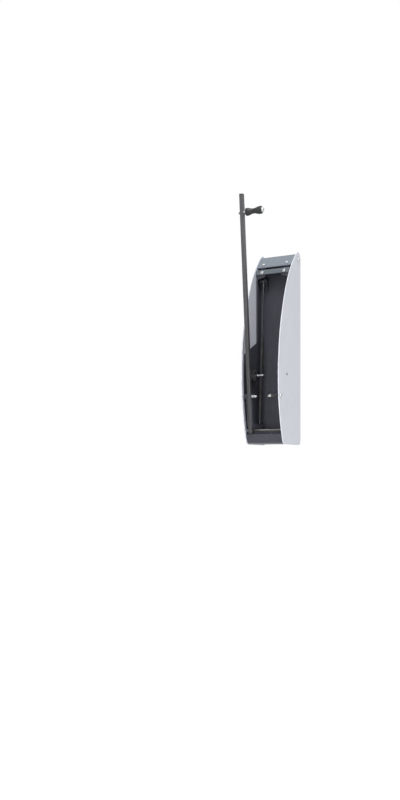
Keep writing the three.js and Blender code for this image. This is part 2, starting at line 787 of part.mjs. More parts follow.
// Right pivot: the same bolt position, with a spacer that shows no arm
const rightNutFace = boltedFace - spacerLength - seatGap;
const rightBoltLength = halfWidth + seatGap - rightNutFace + largeNutHeight + rightThread;
const rightBolt = buttonBolt(largeShank, largeHead, largeHeadHeight, largeSocket, rightBoltLength);
const spacer = ring(spacerDiameter / 2, largeHole / 2, spacerLength, tipChamfer, largeSteps);

add(rack, 'right_pivot_bolt', rightBolt, zinc, place(halfWidth + seatGap, pivotDepth, pivotHeight), toTheLeft);
add(rack, 'right_pivot_spacer', spacer, blackPlastic, place(boltedFace, pivotDepth, pivotHeight), toTheLeft);
add(rack, 'right_pivot_nut', largeNut, zinc, place(rightNutFace, pivotDepth, pivotHeight), toTheLeft);

// Rubber stop on its bolt
const stopNutLeft = -boltedFace + stopDiscWidth + seatGap;
const stopBoltLength = stopNutLeft + mediumNutHeight + stopThread - outerLeft;
const stopBolt = buttonBolt(mediumShank, mediumHead, mediumHeadHeight, mediumSocket, stopBoltLength);
const stopDisc = ring(stopDiscDiameter / 2, mediumHole / 2, stopDiscWidth, stopDiscRound, largeSteps);
const stopNut = nut(mediumFlats, mediumNutHeight, mediumShank);

add(rack, 'stop_bolt', stopBolt, zinc, place(outerLeft, stopDepth, stopHeight));
add(rack, 'stop_disc', stopDisc, rubber, place(-boltedFace, stopDepth, stopHeight));
add(rack, 'stop_nut', stopNut, zinc, place(stopNutLeft, stopDepth, stopHeight));

// Strut anchor: a bracket on the channel's web, its two ears drawn to an eye
const pinHole = pinDiameter + seatGap * 2;
const anchor = [anchorDepth, anchorHeight];

function anchorBracket() {
  const back = webFront + seatGap;
  const bottom = anchorHeight - anchorBaseBelow;
  const top = anchorHeight + anchorBaseAbove;
  const [left, right] = [laneAcross - anchorWidth / 2, laneAcross + anchorWidth / 2];
  const low = tangentAngle([back, bottom], anchor, anchorEyeRadius, -1);
  const high = tangentAngle([back, top], anchor, anchorEyeRadius, 1);
  const ear = [[back, bottom], ...arc(anchor, anchorEyeRadius, low, high, largeSteps / 4), [back, top]];
  const body = join(
    block(left, right, back, back + anchorSheet, bottom, top),
    sideExtrusion(ear, left, left + anchorSheet),
    sideExtrusion(ear, right - anchorSheet, right),
  );
  return cut(body, drill(place(laneAcross, ...anchor), toTheRight, pinHole, anchorWidth));
}

// Angle at which a line from a point touches a circle, on its lower (-1) or upper (1) side.
function tangentAngle(point, centre, radius, side) {
  const [depth, height] = [point[0] - centre[0], point[1] - centre[1]];
  const bearing = Math.atan2(height, depth);
  const turn = Math.acos(radius / Math.hypot(depth, height));
  return bearing - side * turn;
}

function headedPin(length) {
  return turned([
    [-pinHeadHeight, 0],
    [-pinHeadHeight, pinHead / 2 - tipChamfer],
    [-pinHeadHeight + tipChamfer, pinHead / 2],
    [0, pinHead / 2],
    [0, pinDiameter / 2],
    [length - tipChamfer, pinDiameter / 2],
    [length, pinDiameter / 2 - tipChamfer],
    [length, 0],
  ], smallSteps);
}

const anchorPinLeft = laneAcross - anchorWidth / 2 - seatGap;
const anchorPin = headedPin(anchorWidth + seatGap + pinHeadHeight);

add(rack, 'strut_anchor_bracket', anchorBracket(), zinc);
add(rack, 'strut_anchor_pin', anchorPin, zinc, place(anchorPinLeft, ...anchor));

// Lift arm: a rounded rectangular tube, drilled for the pivot and the hook
const tailReach = (pivotHeight - bottomCoverHeight - armTailClearance) / Math.cos(armLean);
const topReach = hookReach + armTopMargin;

function armTube() {
  const outer = roundedRectangle(armWidth, armDepth, armCorner);
  const innerCorner = armCorner - armWall / 2;
  const inner = roundedRectangle(armWidth - armWall * 2, armDepth - armWall * 2, innerCorner);
  const tube = cut(
    upExtrusion(outer, -tailReach, topReach),
    upExtrusion(inner, -tailReach - cutOverrun, topReach + cutOverrun),
  );
  const bores = [0, hookReach].map((reach) => drill(place(0, 0, reach), toTheRight, largeHole, armWidth));
  return cut(tube, ...bores);
}

function armCap(end) {
  const plugWidth = armWidth - armWall * 2 - seatGap * 2;
  const plugDepth = armDepth - armWall * 2 - seatGap * 2;
  const flange = upExtrusion(roundedRectangle(armWidth, armDepth, armCorner), seatGap, seatGap + capFlange);
  const plug = upExtrusion(roundedRectangle(plugWidth, plugDepth, armWall), -capPlug, seatGap + capFlange / 2);
  const cap = join(flange, plug);
  return end < 0 ? cap.rotateX(halfTurn) : cap;
}

const armAcross = (height) => place(laneAcross, 0, height);
const sleeveLength = armWidth - armWall * 2 - seatGap * 2;
const sleeve = ring(sleeveDiameter / 2, largeHole / 2, sleeveLength, tipChamfer, largeSteps);

add(liftArm, 'lift_arm', armTube(), armSteel, armAcross(0));
add(liftArm, 'arm_top_cap', armCap(1), blackPlastic, armAcross(topReach));
add(liftArm, 'arm_tail_cap', armCap(-1), blackPlastic, armAcross(-tailReach));
add(liftArm, 'arm_pivot_sleeve', sleeve, zinc, place(laneAcross - sleeveLength / 2, 0, 0));

// Crank plates on both sides of the arm, and the two pin ends that face the strut's eye
const crank = new THREE.Group();
crank.position.copy(pivotPlace);
rack.add(crank);
const pinPoint = [-pinOffset[0], pinOffset[1]];

// Elbow plate: one leg runs down the leaning arm, the other back to the pin.
function crankPlate(left) {
  const wide = crankHalfWidth;
  const end = wide - crankEndRelief;
  const [pinAlong, pinUp] = pinPoint;
  const onArm = (side, height) => [(side * wide + height * Math.sin(armLean)) / Math.cos(armLean), height];
  const outline = roundedOutline([
    onArm(1, wide),
    onArm(-1, wide),
    onArm(-1, pinUp + wide),
    [pinAlong - wide, pinUp + wide],
    [pinAlong - wide, pinUp - wide],
    onArm(1, pinUp - wide),
  ], [end, end, crankInnerRound, end, end, crankOuterRound]);
  const plate = sideExtrusion(outline, left, left + crankSheet);
  return cut(
    plate,
    drill(place(left, 0, 0), toTheRight, largeHole, crankSheet * 2),
    drill(place(left, ...pinPoint), toTheRight, pinHole, crankSheet * 2),
  );
}

const pinEndLength = crankSheet + seatGap + armWidth / 2 - strutEyeWidth / 2;
const pinEnd = headedPin(pinEndLength);

add(crank, 'left_crank_plate', crankPlate(crankLeft), darkSteel);
add(crank, 'right_crank_plate', crankPlate(armRight + seatGap), darkSteel);
add(crank, 'left_crank_pin', pinEnd, zinc, place(crankLeft - seatGap, ...pinPoint));
add(crank, 'right_crank_pin', pinEnd, zinc, place(crankRight + seatGap, ...pinPoint), toTheLeft);

// Wheel hook on the arm
const hookNutLeft = armRight + seatGap;
const rollerLeft = hookNutLeft + largeNutHeight + seatGap;
const washerLeft = rollerLeft + rollerLength + seatGap;
const hookHeadSeat = washerLeft + washerThickness + seatGap;
const hookLength = hookHeadSeat - armLeft + hookThread;

// Roller profile: a rim, a smooth fall to the waist, a smooth rise and the outer rim.
function hookRoller() {
  const bore = largeHole / 2;
  const blend = (fromShare, toShare, fromRadius, toRadius) => {
    return Array.from({ length: rollerBlendSteps + 1 }, (_, i) => {
      const way = i / rollerBlendSteps;
      const ease = (1 - Math.cos(halfTurn * way)) / 2;
      const along = rollerLength * (fromShare + (toShare - fromShare) * way);
      return [along, fromRadius + (toRadius - fromRadius) * ease];
    });
  };
  return turned([
    [0, bore],
    [0, rollerInnerRadius - rollerEdge],
    [rollerEdge, rollerInnerRadius],
    ...blend(rollerInnerRimShare, rollerWaistStartShare, rollerInnerRadius, rollerWaistRadius),
    ...blend(rollerWaistEndShare, rollerOuterRimShare, rollerWaistRadius, rollerOuterRadius),
    [rollerLength - rollerEdge, rollerOuterRadius],
    [rollerLength, rollerOuterRadius - rollerEdge],
    [rollerLength, bore],
    [0, bore],
  ], largeSteps);
}

const hookBolt = buttonBolt(largeShank, largeHead, largeHeadHeight, largeSocket, hookLength);
const washer = ring(washerDiameter / 2, largeHole / 2, washerThickness, tipChamfer, largeSteps);

add(liftArm, 'hook_roller', hookRoller(), blackPlastic, place(rollerLeft, 0, hookReach));
add(liftArm, 'hook_bolt', hookBolt, zinc, place(hookHeadSeat, 0, hookReach), toTheLeft);
add(liftArm, 'hook_washer', washer, zinc, place(washerLeft, 0, hookReach));
add(liftArm, 'hook_nut', largeNut, zinc, place(hookNutLeft, 0, hookReach));

// Gas strut, drawn upright from the crank pin and leaned to its anchor
const strut = new THREE.Group();
strut.position.copy(place(laneAcross, pivotDepth - pinOffset[0], pinHeight));
strut.rotation.x = -strutLean;
rack.add(strut);
const tubeBottom = strutTubeEyeLength;
const tubeTop = shortLength - strutRodEyeLength - strutEndGap;
const tubeBore = strutTubeDiameter / 2 - strutTubeWall;
const glandBottom = tubeTop - glandLength;
const pistonTop = glandBottom - pistonBelowGland;
const rodTop = strutLength - strutRodEyeLength;

// An eye at 0 with a neck that ends at its length, up (1) or down (-1).
function strutEye(length, way) {
  const wheel = new THREE.CylinderGeometry(strutEyeRadius, strutEyeRadius, strutEyeWidth, largeSteps);
  const neck = new THREE.CylinderGeometry(strutNeckDiameter / 2, strutNeckDiameter / 2, length, smallSteps);
  const body = join(
    wheel.rotateZ(quarterTurn),
    neck.rotateX(quarterTurn).translate(0, 0, (way * length) / 2),
  );
  return cut(body, drill(place(0, 0, 0), toTheRight, pinHole, strutEyeWidth));
}

function standing(profile, steps) {
  return turned(profile, steps).rotateY(-quarterTurn);
}

const rodProfile = [
  [pistonTop - pistonLength, 0],
  [pistonTop - pistonLength, tubeBore - seatGap],
  [pistonTop, tubeBore - seatGap],
  [pistonTop, strutRodDiameter / 2],
  [rodTop - seatGap, strutRodDiameter / 2],
  [rodTop - seatGap, 0],
];
const tubeProfile = [
  [tubeBottom + seatGap, 0],
  [tubeBottom + seatGap, strutTubeDiameter / 2 - tipChamfer],
  [tubeBottom + seatGap + tipChamfer, strutTubeDiameter / 2],
  [tubeTop, strutTubeDiameter / 2],
  [tubeTop, tubeBore],
  [tubeBottom + strutTubeFloor, tubeBore],
  [tubeBottom + strutTubeFloor, 0],
];
const gland = ring(tubeBore - seatGap, strutRodDiameter / 2 + seatGap, glandLength, tipChamfer, largeSteps);

add(strut, 'strut_rod', standing(rodProfile, largeSteps), chrome);
add(strut, 'strut_rod_eye', strutEye(strutRodEyeLength, -1), zinc, new THREE.Vector3(0, 0, strutLength));
add(strut, 'strut_cylinder', standing(tubeProfile, largeSteps), blackPlastic);
add(strut, 'strut_gland', gland.rotateY(-quarterTurn), blackPlastic, new THREE.Vector3(0, 0, glandBottom));
add(strut, 'strut_lower_eye', strutEye(strutTubeEyeLength, 1), zinc);

export default rack;
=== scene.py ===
"""Looks of a wall rack with a lift arm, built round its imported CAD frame.

Lengths are metres in the frame's axes: X across, +Y into the wall and Z up. Side views are written as
depth, which is measured out from the wall, and height, which is measured up from the housing's foot.
"""

import json
import math

import bmesh
import bpy
import numpy as np
from bpy.props import FloatProperty, FloatVectorProperty, IntProperty, PointerProperty
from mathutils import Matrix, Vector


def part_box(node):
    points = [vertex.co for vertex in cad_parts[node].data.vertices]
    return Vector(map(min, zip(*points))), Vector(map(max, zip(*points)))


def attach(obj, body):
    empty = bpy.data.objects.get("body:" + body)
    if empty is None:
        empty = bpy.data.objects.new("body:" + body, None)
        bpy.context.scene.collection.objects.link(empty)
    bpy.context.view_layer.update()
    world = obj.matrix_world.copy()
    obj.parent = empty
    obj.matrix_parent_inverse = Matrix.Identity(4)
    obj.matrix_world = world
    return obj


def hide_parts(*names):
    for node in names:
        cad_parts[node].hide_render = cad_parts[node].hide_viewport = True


bl_info = {
    "name": "Wall rack with lift arm",
    "version": (1, 0, 0),
    "blender": (4, 5, 0),
    "location": "3D View > Sidebar > Rack",
    "description": "Builds the finished pieces, paints and studio of a wall rack round its frame",
    "category": "Object",
}

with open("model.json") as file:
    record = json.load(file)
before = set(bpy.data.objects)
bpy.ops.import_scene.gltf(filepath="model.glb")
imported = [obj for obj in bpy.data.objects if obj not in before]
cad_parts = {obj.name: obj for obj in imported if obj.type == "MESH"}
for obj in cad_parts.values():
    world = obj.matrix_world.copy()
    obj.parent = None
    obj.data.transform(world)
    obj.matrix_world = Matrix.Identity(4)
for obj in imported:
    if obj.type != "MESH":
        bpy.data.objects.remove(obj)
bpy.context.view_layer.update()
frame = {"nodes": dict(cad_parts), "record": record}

MM = 0.001
QUARTER = math.pi / 2
SIDES = (("left", -1), ("right", 1))
ACROSS = np.array([1.0, 0.0, 0.0])
INTO_WALL = np.array([0.0, 1.0, 0.0])


def mm(*values):
    """Lengths given in millimetres."""
    return [value * MM for value in values]


def middle(node):
    """Centre of a CAD node's box."""
    low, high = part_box(node)
    return np.array((low + high) / 2)


def span(node, axis):
    """Lowest and highest place of a CAD node along an axis."""
    low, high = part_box(node)
    return low[axis], high[axis]


FOOT, HOUSING_TOP = span("left_side_panel", 2)
PANEL_INSIDE, PANEL_OUTSIDE = span("right_side_panel", 0)
FIT_HALF = span("front_channel", 0)[1]
SEAT_GAP = PANEL_INSIDE - FIT_HALF
LANE = middle("lift_arm")[0]
PIVOT = middle("left_pivot_bush")
STOP = middle("stop_disc")
HOOK = middle("hook_roller")
CRANK_PIN = middle("left_crank_pin")
STRUT_ANCHOR = middle("strut_anchor_pin")

COVER_SHEET, CROSSBAR_SHEET, FLOOR_SHEET, CHANNEL_SHEET = mm(2, 2.7, 3, 2.5)
BOTTOM_COVER_INSET, STRUT_TUBE_RADIUS = mm(4, 7.5)


def side_box(node):
    """Rear and front depth of a CAD node, and its lowest and highest height."""
    low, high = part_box(node)
    return -high.y, -low.y, low.z - FOOT, high.z - FOOT


def near_end(node, direction, sunk=0.0):
    """Where a CAD node starts in a direction along an axis, moved on by a distance, and its length."""
    axis = int(np.argmax(np.abs(direction)))
    low, high = span(node, axis)
    place = middle(node)
    place[axis] = low + sunk if direction[axis] > 0 else high - sunk
    return place, high - low


def level_with(point, across=0.0):
    """A place across, with the depth and height of a point."""
    return np.array([across, point[1], point[2]])


def side_view(point):
    """Depth and height of a point."""
    return np.array([-point[1], point[2] - FOOT])


# Sizes and colours that can be changed


def number(label, words, value, **options):
    return FloatProperty(name=label, description=words, default=value, **options)


def length(label, words, value):
    """A length in metres, shown in the scene's own unit."""
    return number(label, words, value, subtype="DISTANCE", unit="LENGTH", precision=5)


def share(label, words, value):
    return number(label, words, value, subtype="FACTOR", min=0.0, max=1.0)


def power(label, words, value):
    return number(label, words, value, unit="POWER")


def paint_colour(label, words, code):
    """A colour whose default is a six-figure screen colour, turned to linear values."""
    screen = np.array([int(code[i : i + 2], 16) for i in (0, 2, 4)]) / 255
    linear = np.where(screen <= 0.04045, screen / 12.92, ((screen + 0.055) / 1.055) ** 2.4)
    return FloatVectorProperty(
        name=label, description=words, default=linear.tolist(), subtype="COLOR", size=3, min=0.0, max=1.0
    )


class RackSizes(bpy.types.PropertyGroup):
    """Sizes of the finished pieces that the frame leaves open"""

    panel_edge: length("Panel edge", "Round along the side panels' edges", 1.1 * MM)
    panel_foot_share: share("Foot depth", "Panel depth at its foot, as a share of its full depth", 0.789)
    panel_belly_share: share("Belly height", "Height of the deepest point, as a share of the height", 0.329)
    panel_shoulder_depth_share: share("Shoulder depth", "Depth where the middle arc ends", 0.641)
    panel_shoulder_share: share("Shoulder height", "Height where the middle arc ends", 0.804)
    panel_tip: length("Panel tip", "Radius of the round tip", 27 * MM)
    panel_front_foot: length("Front foot corner", "Radius of the panel's front foot corner", 25 * MM)
    panel_rear_foot: length("Rear foot corner", "Radius of the panel's rear foot corner", 20 * MM)
    sheet_edge: length("Sheet edge", "Round along the edges of folded sheets", 0.35 * MM)
    bend: length("Bend", "Inner radius of a fold in sheet", 1.6 * MM)
    arm_corner: length("Arm corner", "Outer radius of the arm tube's corners", 3 * MM)
    plate_edge: length("Plate edge", "Round along the crank plates' edges", 0.6 * MM)
    thread_depth: share("Thread depth", "Depth of a thread as a share of its pitch", 0.5)
    roller_rim: length("Roller rim", "Largest radius of the hook's roller", 15 * MM)
    roller_waist: length("Roller waist", "Smallest radius of the hook's roller", 10 * MM)
    round_steps: IntProperty(name="Round steps", description="Points round a turning", default=72, min=24)


class RackFinishes(bpy.types.PropertyGroup):
    """Colours of the paints, platings and plastics"""

    panel_paint: paint_colour("Panel paint", "Light powder coat of the side panels", "cacdd5")
    dark_paint: paint_colour("Dark paint", "Anthracite powder coat of the channels", "393a42")
    # The cover's slate is the anthracite coat lightened as a painted sky reflection on its upward slope.
    cover_paint: paint_colour("Cover paint", "Slate powder coat of the top cover", "707882")
    # The crossbar's colour is the cover's coat darkened as painted shade under the top cover's overhang.
    crossbar_paint: paint_colour("Crossbar paint", "Slate powder coat of the crossbar", "5e656c")
    arm_paint: paint_colour("Arm paint", "Grey powder coat of the arm", "4c4b4e")
    # The trim's colour is the channels' anthracite darkened as painted shade of the gap above the bottom
    # cover.
    trim_paint: paint_colour("Trim paint", "Black coat of the trim above the bottom cover", "2a2b31")
    # The floor's pale tone is partly scuffed wear and partly painted light, standing for its lit front lip.
    worn_paint: paint_colour("Worn paint", "Scuffed powder coat of the channel's floor", "aba8a6")
    zinc: paint_colour("Zinc", "Bright plating of the fasteners", "c9cbcd")
    dull_zinc: paint_colour("Dull zinc", "Dulled plating of the strut's ends and the foot's screws", "585b5f")
    chrome: paint_colour("Chrome", "Oiled piston rod", "63666b")
    black_plastic: paint_colour("Black plastic", "Roller, bush, caps and plug", "19191c")
    strut_paint: paint_colour("Strut paint", "Matt paint of the gas strut", "17171a")
    rubber: paint_colour("Rubber", "Stop disc", "0b0b0c")
    dust: paint_colour("Dust", "Dust and rubbed marks on powder coat", "77787a")


class RackStage(bpy.types.PropertyGroup):
    """Camera, floor and lamps"""

    floor_drop: length("Floor drop", "Height of the housing's foot above the floor", 0.92)
    camera_across: length("Camera across", "Camera's place across", 1.1902)
    camera_out: length("Camera out", "Camera's distance from the wall", 3.1326)
    camera_height: length("Camera height", "Camera's height from the frame's origin", -0.4651)
    camera_turn: number("Camera turn", "Turn to the left from facing the wall", 0.46698, subtype="ANGLE")
    camera_focus: number("Camera lens", "Focal length in pixels of the picture", 791.33, min=100.0)
    horizon: number("Horizon", "Row of the horizon below the picture's middle, in pixels", 61.07)
    sky_light: number("Sky light", "Strength of the even light", 0.5, min=0.0)
    key_power: power("Key lamp", "Power of the high front lamp", 82.0)
    top_power: power("Top lamp", "Power of the lamp above", 66.0)
    front_power: power("Foot lamp", "Power of the low front lamp", 1.7)
    fill_power: power("Fill lamp", "Power of the left lamp", 7.0)
    rear_power: power("Rear lamp", "Power of the rear lamp", 16.0)


def rack_sizes():
    return bpy.context.scene.rack_sizes


# Surfaces worked out as arrays


def unit(vectors):
    return vectors / np.maximum(np.linalg.norm(vectors, axis=-1, keepdims=True), 1e-12)


def grid_faces(rows, columns):
    """Quads between neighbouring rows of points; the last column joins the first."""
    index = np.arange(rows * columns).reshape(rows, columns)
    index = np.hstack([index, index[:, :1]])
    corners = [index[:-1, :-1], index[:-1, 1:], index[1:, 1:], index[1:, :-1]]
    return np.stack(corners, -1).reshape(-1, 4).tolist()


def filleted(corners, radii, steps=4):
    """Closed outline with round corners.

    A corner becomes an arc that touches both its sides: its ends lie radius / tan(half the corner's angle)
    from the corner, and its points are weighted sums of the two end spokes, sin((1 - t) sweep) and
    sin(t sweep) over sin(sweep).
    """
    corners = np.asarray(corners, float)
    radii = np.asarray(radii, float)[:, None]
    back = unit(np.roll(corners, 1, axis=0) - corners)
    ahead = unit(np.roll(corners, -1, axis=0) - corners)
    half = np.arccos(np.clip(np.sum(back * ahead, axis=1, keepdims=True), -1, 1)) / 2
    half = np.clip(half, 1e-3, QUARTER - 1e-4)
    centre = corners + unit(back + ahead) * radii / np.sin(half)
    start = corners + back * radii / np.tan(half) - centre
    end = corners + ahead * radii / np.tan(half) - centre
    sweep = (math.pi - 2 * half)[:, None]
    way = np.linspace(0, 1, steps + 1)[None, :, None]
    spokes = np.sin((1 - way) * sweep) * start[:, None] + np.sin(way * sweep) * end[:, None]
    return (centre[:, None] + spokes / np.sin(sweep)).reshape(-1, 2)


def heading(angle):
    return np.array([math.cos(angle), math.sin(angle)])


def arc(centre, radius, start, end, steps):
    """Points of an arc in the side view, from one angle to another."""
    angle = np.linspace(start, end, steps + 1)
    return np.stack([centre[0] + radius * np.cos(angle), centre[1] + radius * np.sin(angle)], -1)


def inward_of(loop):
    """For each corner of a closed outline, the step that moves it one unit inwards.

    It is the sum of the unit normals of the corner's two sides, divided by one plus their product.
    """
    following = np.roll(loop, -1, axis=0)
    area = np.sum(loop[:, 0] * following[:, 1] - following[:, 0] * loop[:, 1])
    run = unit(following - loop)
    after = np.stack([-run[:, 1], run[:, 0]], -1)
    before = np.roll(after, 1, axis=0)
    product = np.sum(before * after, axis=1, keepdims=True)
    return math.copysign(1, area) * (before + after) / np.maximum(1 + product, 0.2)


def stacked(loops, places):
    """Solid from a stack of outlines at places along a third axis, with flat ends."""
    rows, columns = loops.shape[:2]
    along = np.asarray(places)[:, None, None] * np.ones((rows, columns, 1))
    last = (rows - 1) * columns
    caps = [list(range(columns)), list(range(last, last + columns))]
    return np.concatenate([loops, along], -1).reshape(-1, 3), grid_faces(rows, columns) + caps


def slab(loop, low, high, edge, steps=3):
    """Solid between two places, from a closed outline, with quarter round rims.

    At an angle a round the rim, the outline is moved in by edge * (1 - sin a), and lies edge * (1 - cos a)
    from the face. Points that repeat the next one are left out first.
    """
    loop = loop[np.linalg.norm(np.roll(loop, -1, axis=0) - loop, axis=1) > 1e-9]
    angle = np.linspace(0, QUARTER, steps + 1)
    inset = edge * (1 - np.sin(angle))
    off_face = edge * (1 - np.cos(angle))
    insets = np.concatenate([inset, inset[::-1]])
    places = np.concatenate([low + off_face, (high - off_face)[::-1]])
    return stacked(loop + inward_of(loop) * insets[:, None, None], places)


def eased(way):
    """A share that starts and ends slowly between 0 and 1: three times its square less twice its cube."""
    way = np.clip(way, 0, 1)
    return way * way * (3 - 2 * way)


def side_slab(loop, left, right, edge):
    """A slab whose outline is a side view and which runs across."""
    points, faces = slab(loop, left, right, edge)
    depth, height, across = points.T
    return np.stack([across, -depth, FOOT + height], -1), faces


def folded(path, thickness):
    """Side view outline of a folded sheet: the path, and the path moved to its left by the thickness.

    A thickness below zero moves it to its right. On the outside of a fold the radius is the inner one plus
    the thickness.
    """
    bend, edge = rack_sizes().bend, rack_sizes().sheet_edge
    path = np.asarray(path, float)
    run = unit(np.diff(path, axis=0))
    normal = np.stack([-run[:, 1], run[:, 0]], -1)
    before = np.vstack([normal[:1], normal])
    after = np.vstack([normal, normal[-1:]])
    moved = path + thickness * (before + after) / (1 + np.sum(before * after, axis=1, keepdims=True))
    turns_left = run[:-1, 0] * run[1:, 1] - run[:-1, 1] * run[1:, 0] > 0
    outside = turns_left == (thickness > 0)
    on_path = np.where(outside, bend + abs(thickness), bend)
    on_moved = np.where(outside, bend, bend + abs(thickness))
    radii = [edge, *on_path, edge, edge, *on_moved[::-1], edge]
    return filleted(np.vstack([path, moved[::-1]]), radii)


def angles_round(steps):
    return np.linspace(0, 2 * math.pi, steps, endpoint=False)


def turned(rows, steps=None):
    """Surface turned about X, from rows of a place along and a radius, or a radius by angle."""
    steps = steps or rack_sizes().round_steps
    angle = angles_round(steps)
    along = np.array([at * np.ones(steps) for at, _ in rows])
    radius = np.array([wide * np.ones(steps) for _, wide in rows])
    points = np.stack([along, radius * np.cos(angle), radius * np.sin(angle)], -1)
    return points.reshape(-1, 3), grid_faces(len(rows), steps)


def turned_solid(profile, radii):
    """A turned surface from the corners of a closed profile of (along, radius), with round corners."""
    line = filleted(profile, radii, steps=5)
    return turned(np.vstack([line, line[:1]]))


def ring_shell(inner, outer, wide, edge):
    """A sleeve, bush, disc or washer from 0 to its width."""
    profile = [(0, inner), (0, outer), (wide, outer), (wide, inner)]
    return turned_solid(profile, [edge / 2, edge, edge, edge / 2])


def aimed(shell, place, direction):
    """A shell with its X axis turned to a direction and its zero moved to a place."""
    points, faces = shell
    direction = unit(np.asarray(direction, float))
    upright = np.array([0.0, 0.0, 1.0]) if abs(direction[2]) < 0.9 else ACROSS
    beside = unit(np.cross(upright, direction))
    axes = np.stack([direction, beside, np.cross(direction, beside)])
    return points @ axes + place, faces


def hexagon(flats):
    """Radius of a hexagon at each angle: half its width over flats, over the cosine from the nearest flat."""
    from_flat = (angles_round(rack_sizes().round_steps) + math.pi / 6) % (math.pi / 3) - math.pi / 6
    return flats / 2 / np.cos(from_flat)


# Fasteners: sizes of shank, head, head height, socket, thread pitch, nut width over flats and nut height

FASTENERS = {
    "large": mm(10, 17.5, 5.5, 6, 1.5, 16, 8.4),
    "medium": mm(8, 14, 4.4, 5, 1.25, 13, 6.5),
    "small": mm(5, 9.5, 2.8, 3, 0.8, 8, 4),
}
THREAD_ROWS, DOME_ROWS = 6, 7
LARGE_BORE = FASTENERS["large"][0] + 2 * SEAT_GAP
MEDIUM_BORE = FASTENERS["medium"][0] + 2 * SEAT_GAP


def button_bolt(kind, long, thread_from):
    """A button head bolt along X, its seat at 0: a hexagon socket, a domed head, a shank and a thread.

    The dome is a quarter ellipse from a flat top to the rim. The thread's radius is the shank's, less its
    depth times a triangle wave of along / pitch - angle / turn, which fades out over a pitch at both ends.
    """
    shank, head, head_high, socket, pitch, _, _ = FASTENERS[kind]
    wall = hexagon(socket)
    rim = head_high * 0.22
    flat_top = socket * 0.5 + head * 0.12
    floor = -head_high * 0.4
    drill_point = socket * 0.12
    mouth, underside = mm(0.25, 0.3)
    rows = [(floor + drill_point, 0), (floor, wall * 0.97)]
    rows += [(mouth - head_high, wall), (-head_high, wall + mouth)]
    for angle in np.linspace(0.05, QUARTER, DOME_ROWS):
        at = -rim - (head_high - rim) * math.cos(angle)
        rows.append((at, flat_top + (head / 2 - flat_top) * math.sin(angle)))
    rows += [(-underside, head / 2), (0, head / 2 - underside), (0, shank / 2), (thread_from, shank / 2)]
    tip = long - shank * 0.08
    count = max(2, int((tip - thread_from) / pitch * THREAD_ROWS))
    along = np.linspace(thread_from, tip, count)[1:]
    turn = np.linspace(0, 1, rack_sizes().round_steps, endpoint=False)
    wave = np.abs(2 * ((along[:, None] / pitch - turn) % 1) - 1)
    fade = np.clip(np.minimum(along - thread_from, tip - along) / pitch, 0, 1)[:, None]
    groove = shank / 2 - pitch * rack_sizes().thread_depth * wave * fade
    return turned([*rows, *zip(along, groove), (long, shank * 0.41), (long, 0)])


def hexagon_nut(kind):
    """A nut along X from 0: at each angle its radius is the smaller of a hexagon's and a chamfer cone's."""
    shank, _, _, _, _, flats, high = FASTENERS[kind]
    corners = hexagon(flats)
    play, lead = mm(0.05, 0.7)
    inner = shank / 2 + play
    face = flats * 0.475
    fall = math.tan(math.radians(30))
    rows = [(lead, inner), (0, inner + lead), (0, face)]
    for into in np.linspace(0.1, 1, 6) * (corners.max() - face) * fall:
        rows.append((into, np.minimum(corners, face + into / fall)))
    mirrored = [(high - at, radius) for at, radius in rows[::-1]]
    return turned(rows + mirrored + rows[:1])


# Pieces made of shells

SAME_POINT = 2e-6
SHARP_EDGE = math.radians(32)
DRILL_STEPS = 48


def new_object(name, data):
    made = bpy.data.objects.new(name, data)
    bpy.context.scene.collection.objects.link(made)
    return made


def joined(name, shells):
    """One mesh of closed shells, each with its doubles merged and its faces turned outwards."""
    whole = bmesh.new()
    for points, faces in shells:
        part = bpy.data.meshes.new("shell")
        part.from_pydata(np.asarray(points).tolist(), [], faces)
        single = bmesh.new()
        single.from_mesh(part)
        bmesh.ops.remove_doubles(single, verts=single.verts, dist=SAME_POINT)
        bmesh.ops.recalc_face_normals(single, faces=single.faces)
        single.to_mesh(part)
        single.free()
        whole.from_mesh(part)
        bpy.data.meshes.remove(part)
    mesh = bpy.data.meshes.new(name)
    whole.to_mesh(mesh)
    whole.free()
    return new_object(name, mesh)


def make_piece(name, shells, node, slot, body="root", look=None):
    """Joins closed shells into one piece, which rides on a body and stands for a CAD node, if it has one.

    Its finish is its slot's, or a look of its own within that slot.
    """
    made = joined(name, shells)
    finish_shading(made)
    made.data.materials.append(finish(look or slot))
    if node:
        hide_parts(node)
    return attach(made, body)


def finish_shading(made):
    """Smooth faces with sharp edges by angle, and normals weighted by area so that flats stay flat."""
    made.data.shade_smooth()
    made.data.set_sharp_from_angle(angle=SHARP_EDGE)
    even = made.modifiers.new("even_flats", "WEIGHTED_NORMAL")
    even.keep_sharp = True
    even.weight = 80


def bored(made, drills):
    """Takes round holes out of a piece.

    A drill is its middle, its diameter, its reach to both sides and, unless it runs across, its direction.
    """
    shells = []
    for place, diameter, reach, *direction in drills:
        radius = diameter / 2
        rod = turned([(-reach, 0), (-reach, radius), (reach, radius), (reach, 0)], steps=DRILL_STEPS)
        shells.append(aimed(rod, place, *direction or [ACROSS]))
    cutter = joined("drills", shells)
    made.modifiers.clear()
    cut = made.modifiers.new("bores", "BOOLEAN")
    cut.operation = "DIFFERENCE"
    cut.solver = "EXACT"
    cut.object = cutter
    bpy.context.view_layer.update()
    solid = made.evaluated_get(bpy.context.evaluated_depsgraph_get())
    fresh = bpy.data.meshes.new_from_object(solid)
    fresh.name = made.name
    made.modifiers.clear()
    made.data = fresh
    bpy.data.objects.remove(cutter)
    finish_shading(made)


def drilled_plate(name, node, outline, edge, slot, body, holes):
    """A plate in a CAD node's place with an outline in the side view, drilled across at points."""
    low, high = span(node, 0)
    made = make_piece(name, [side_slab(outline, low, high, edge)], node, slot, body)
    bored(made, [(level_with(point, (low + high) / 2), wide, high - low) for point, wide in holes])


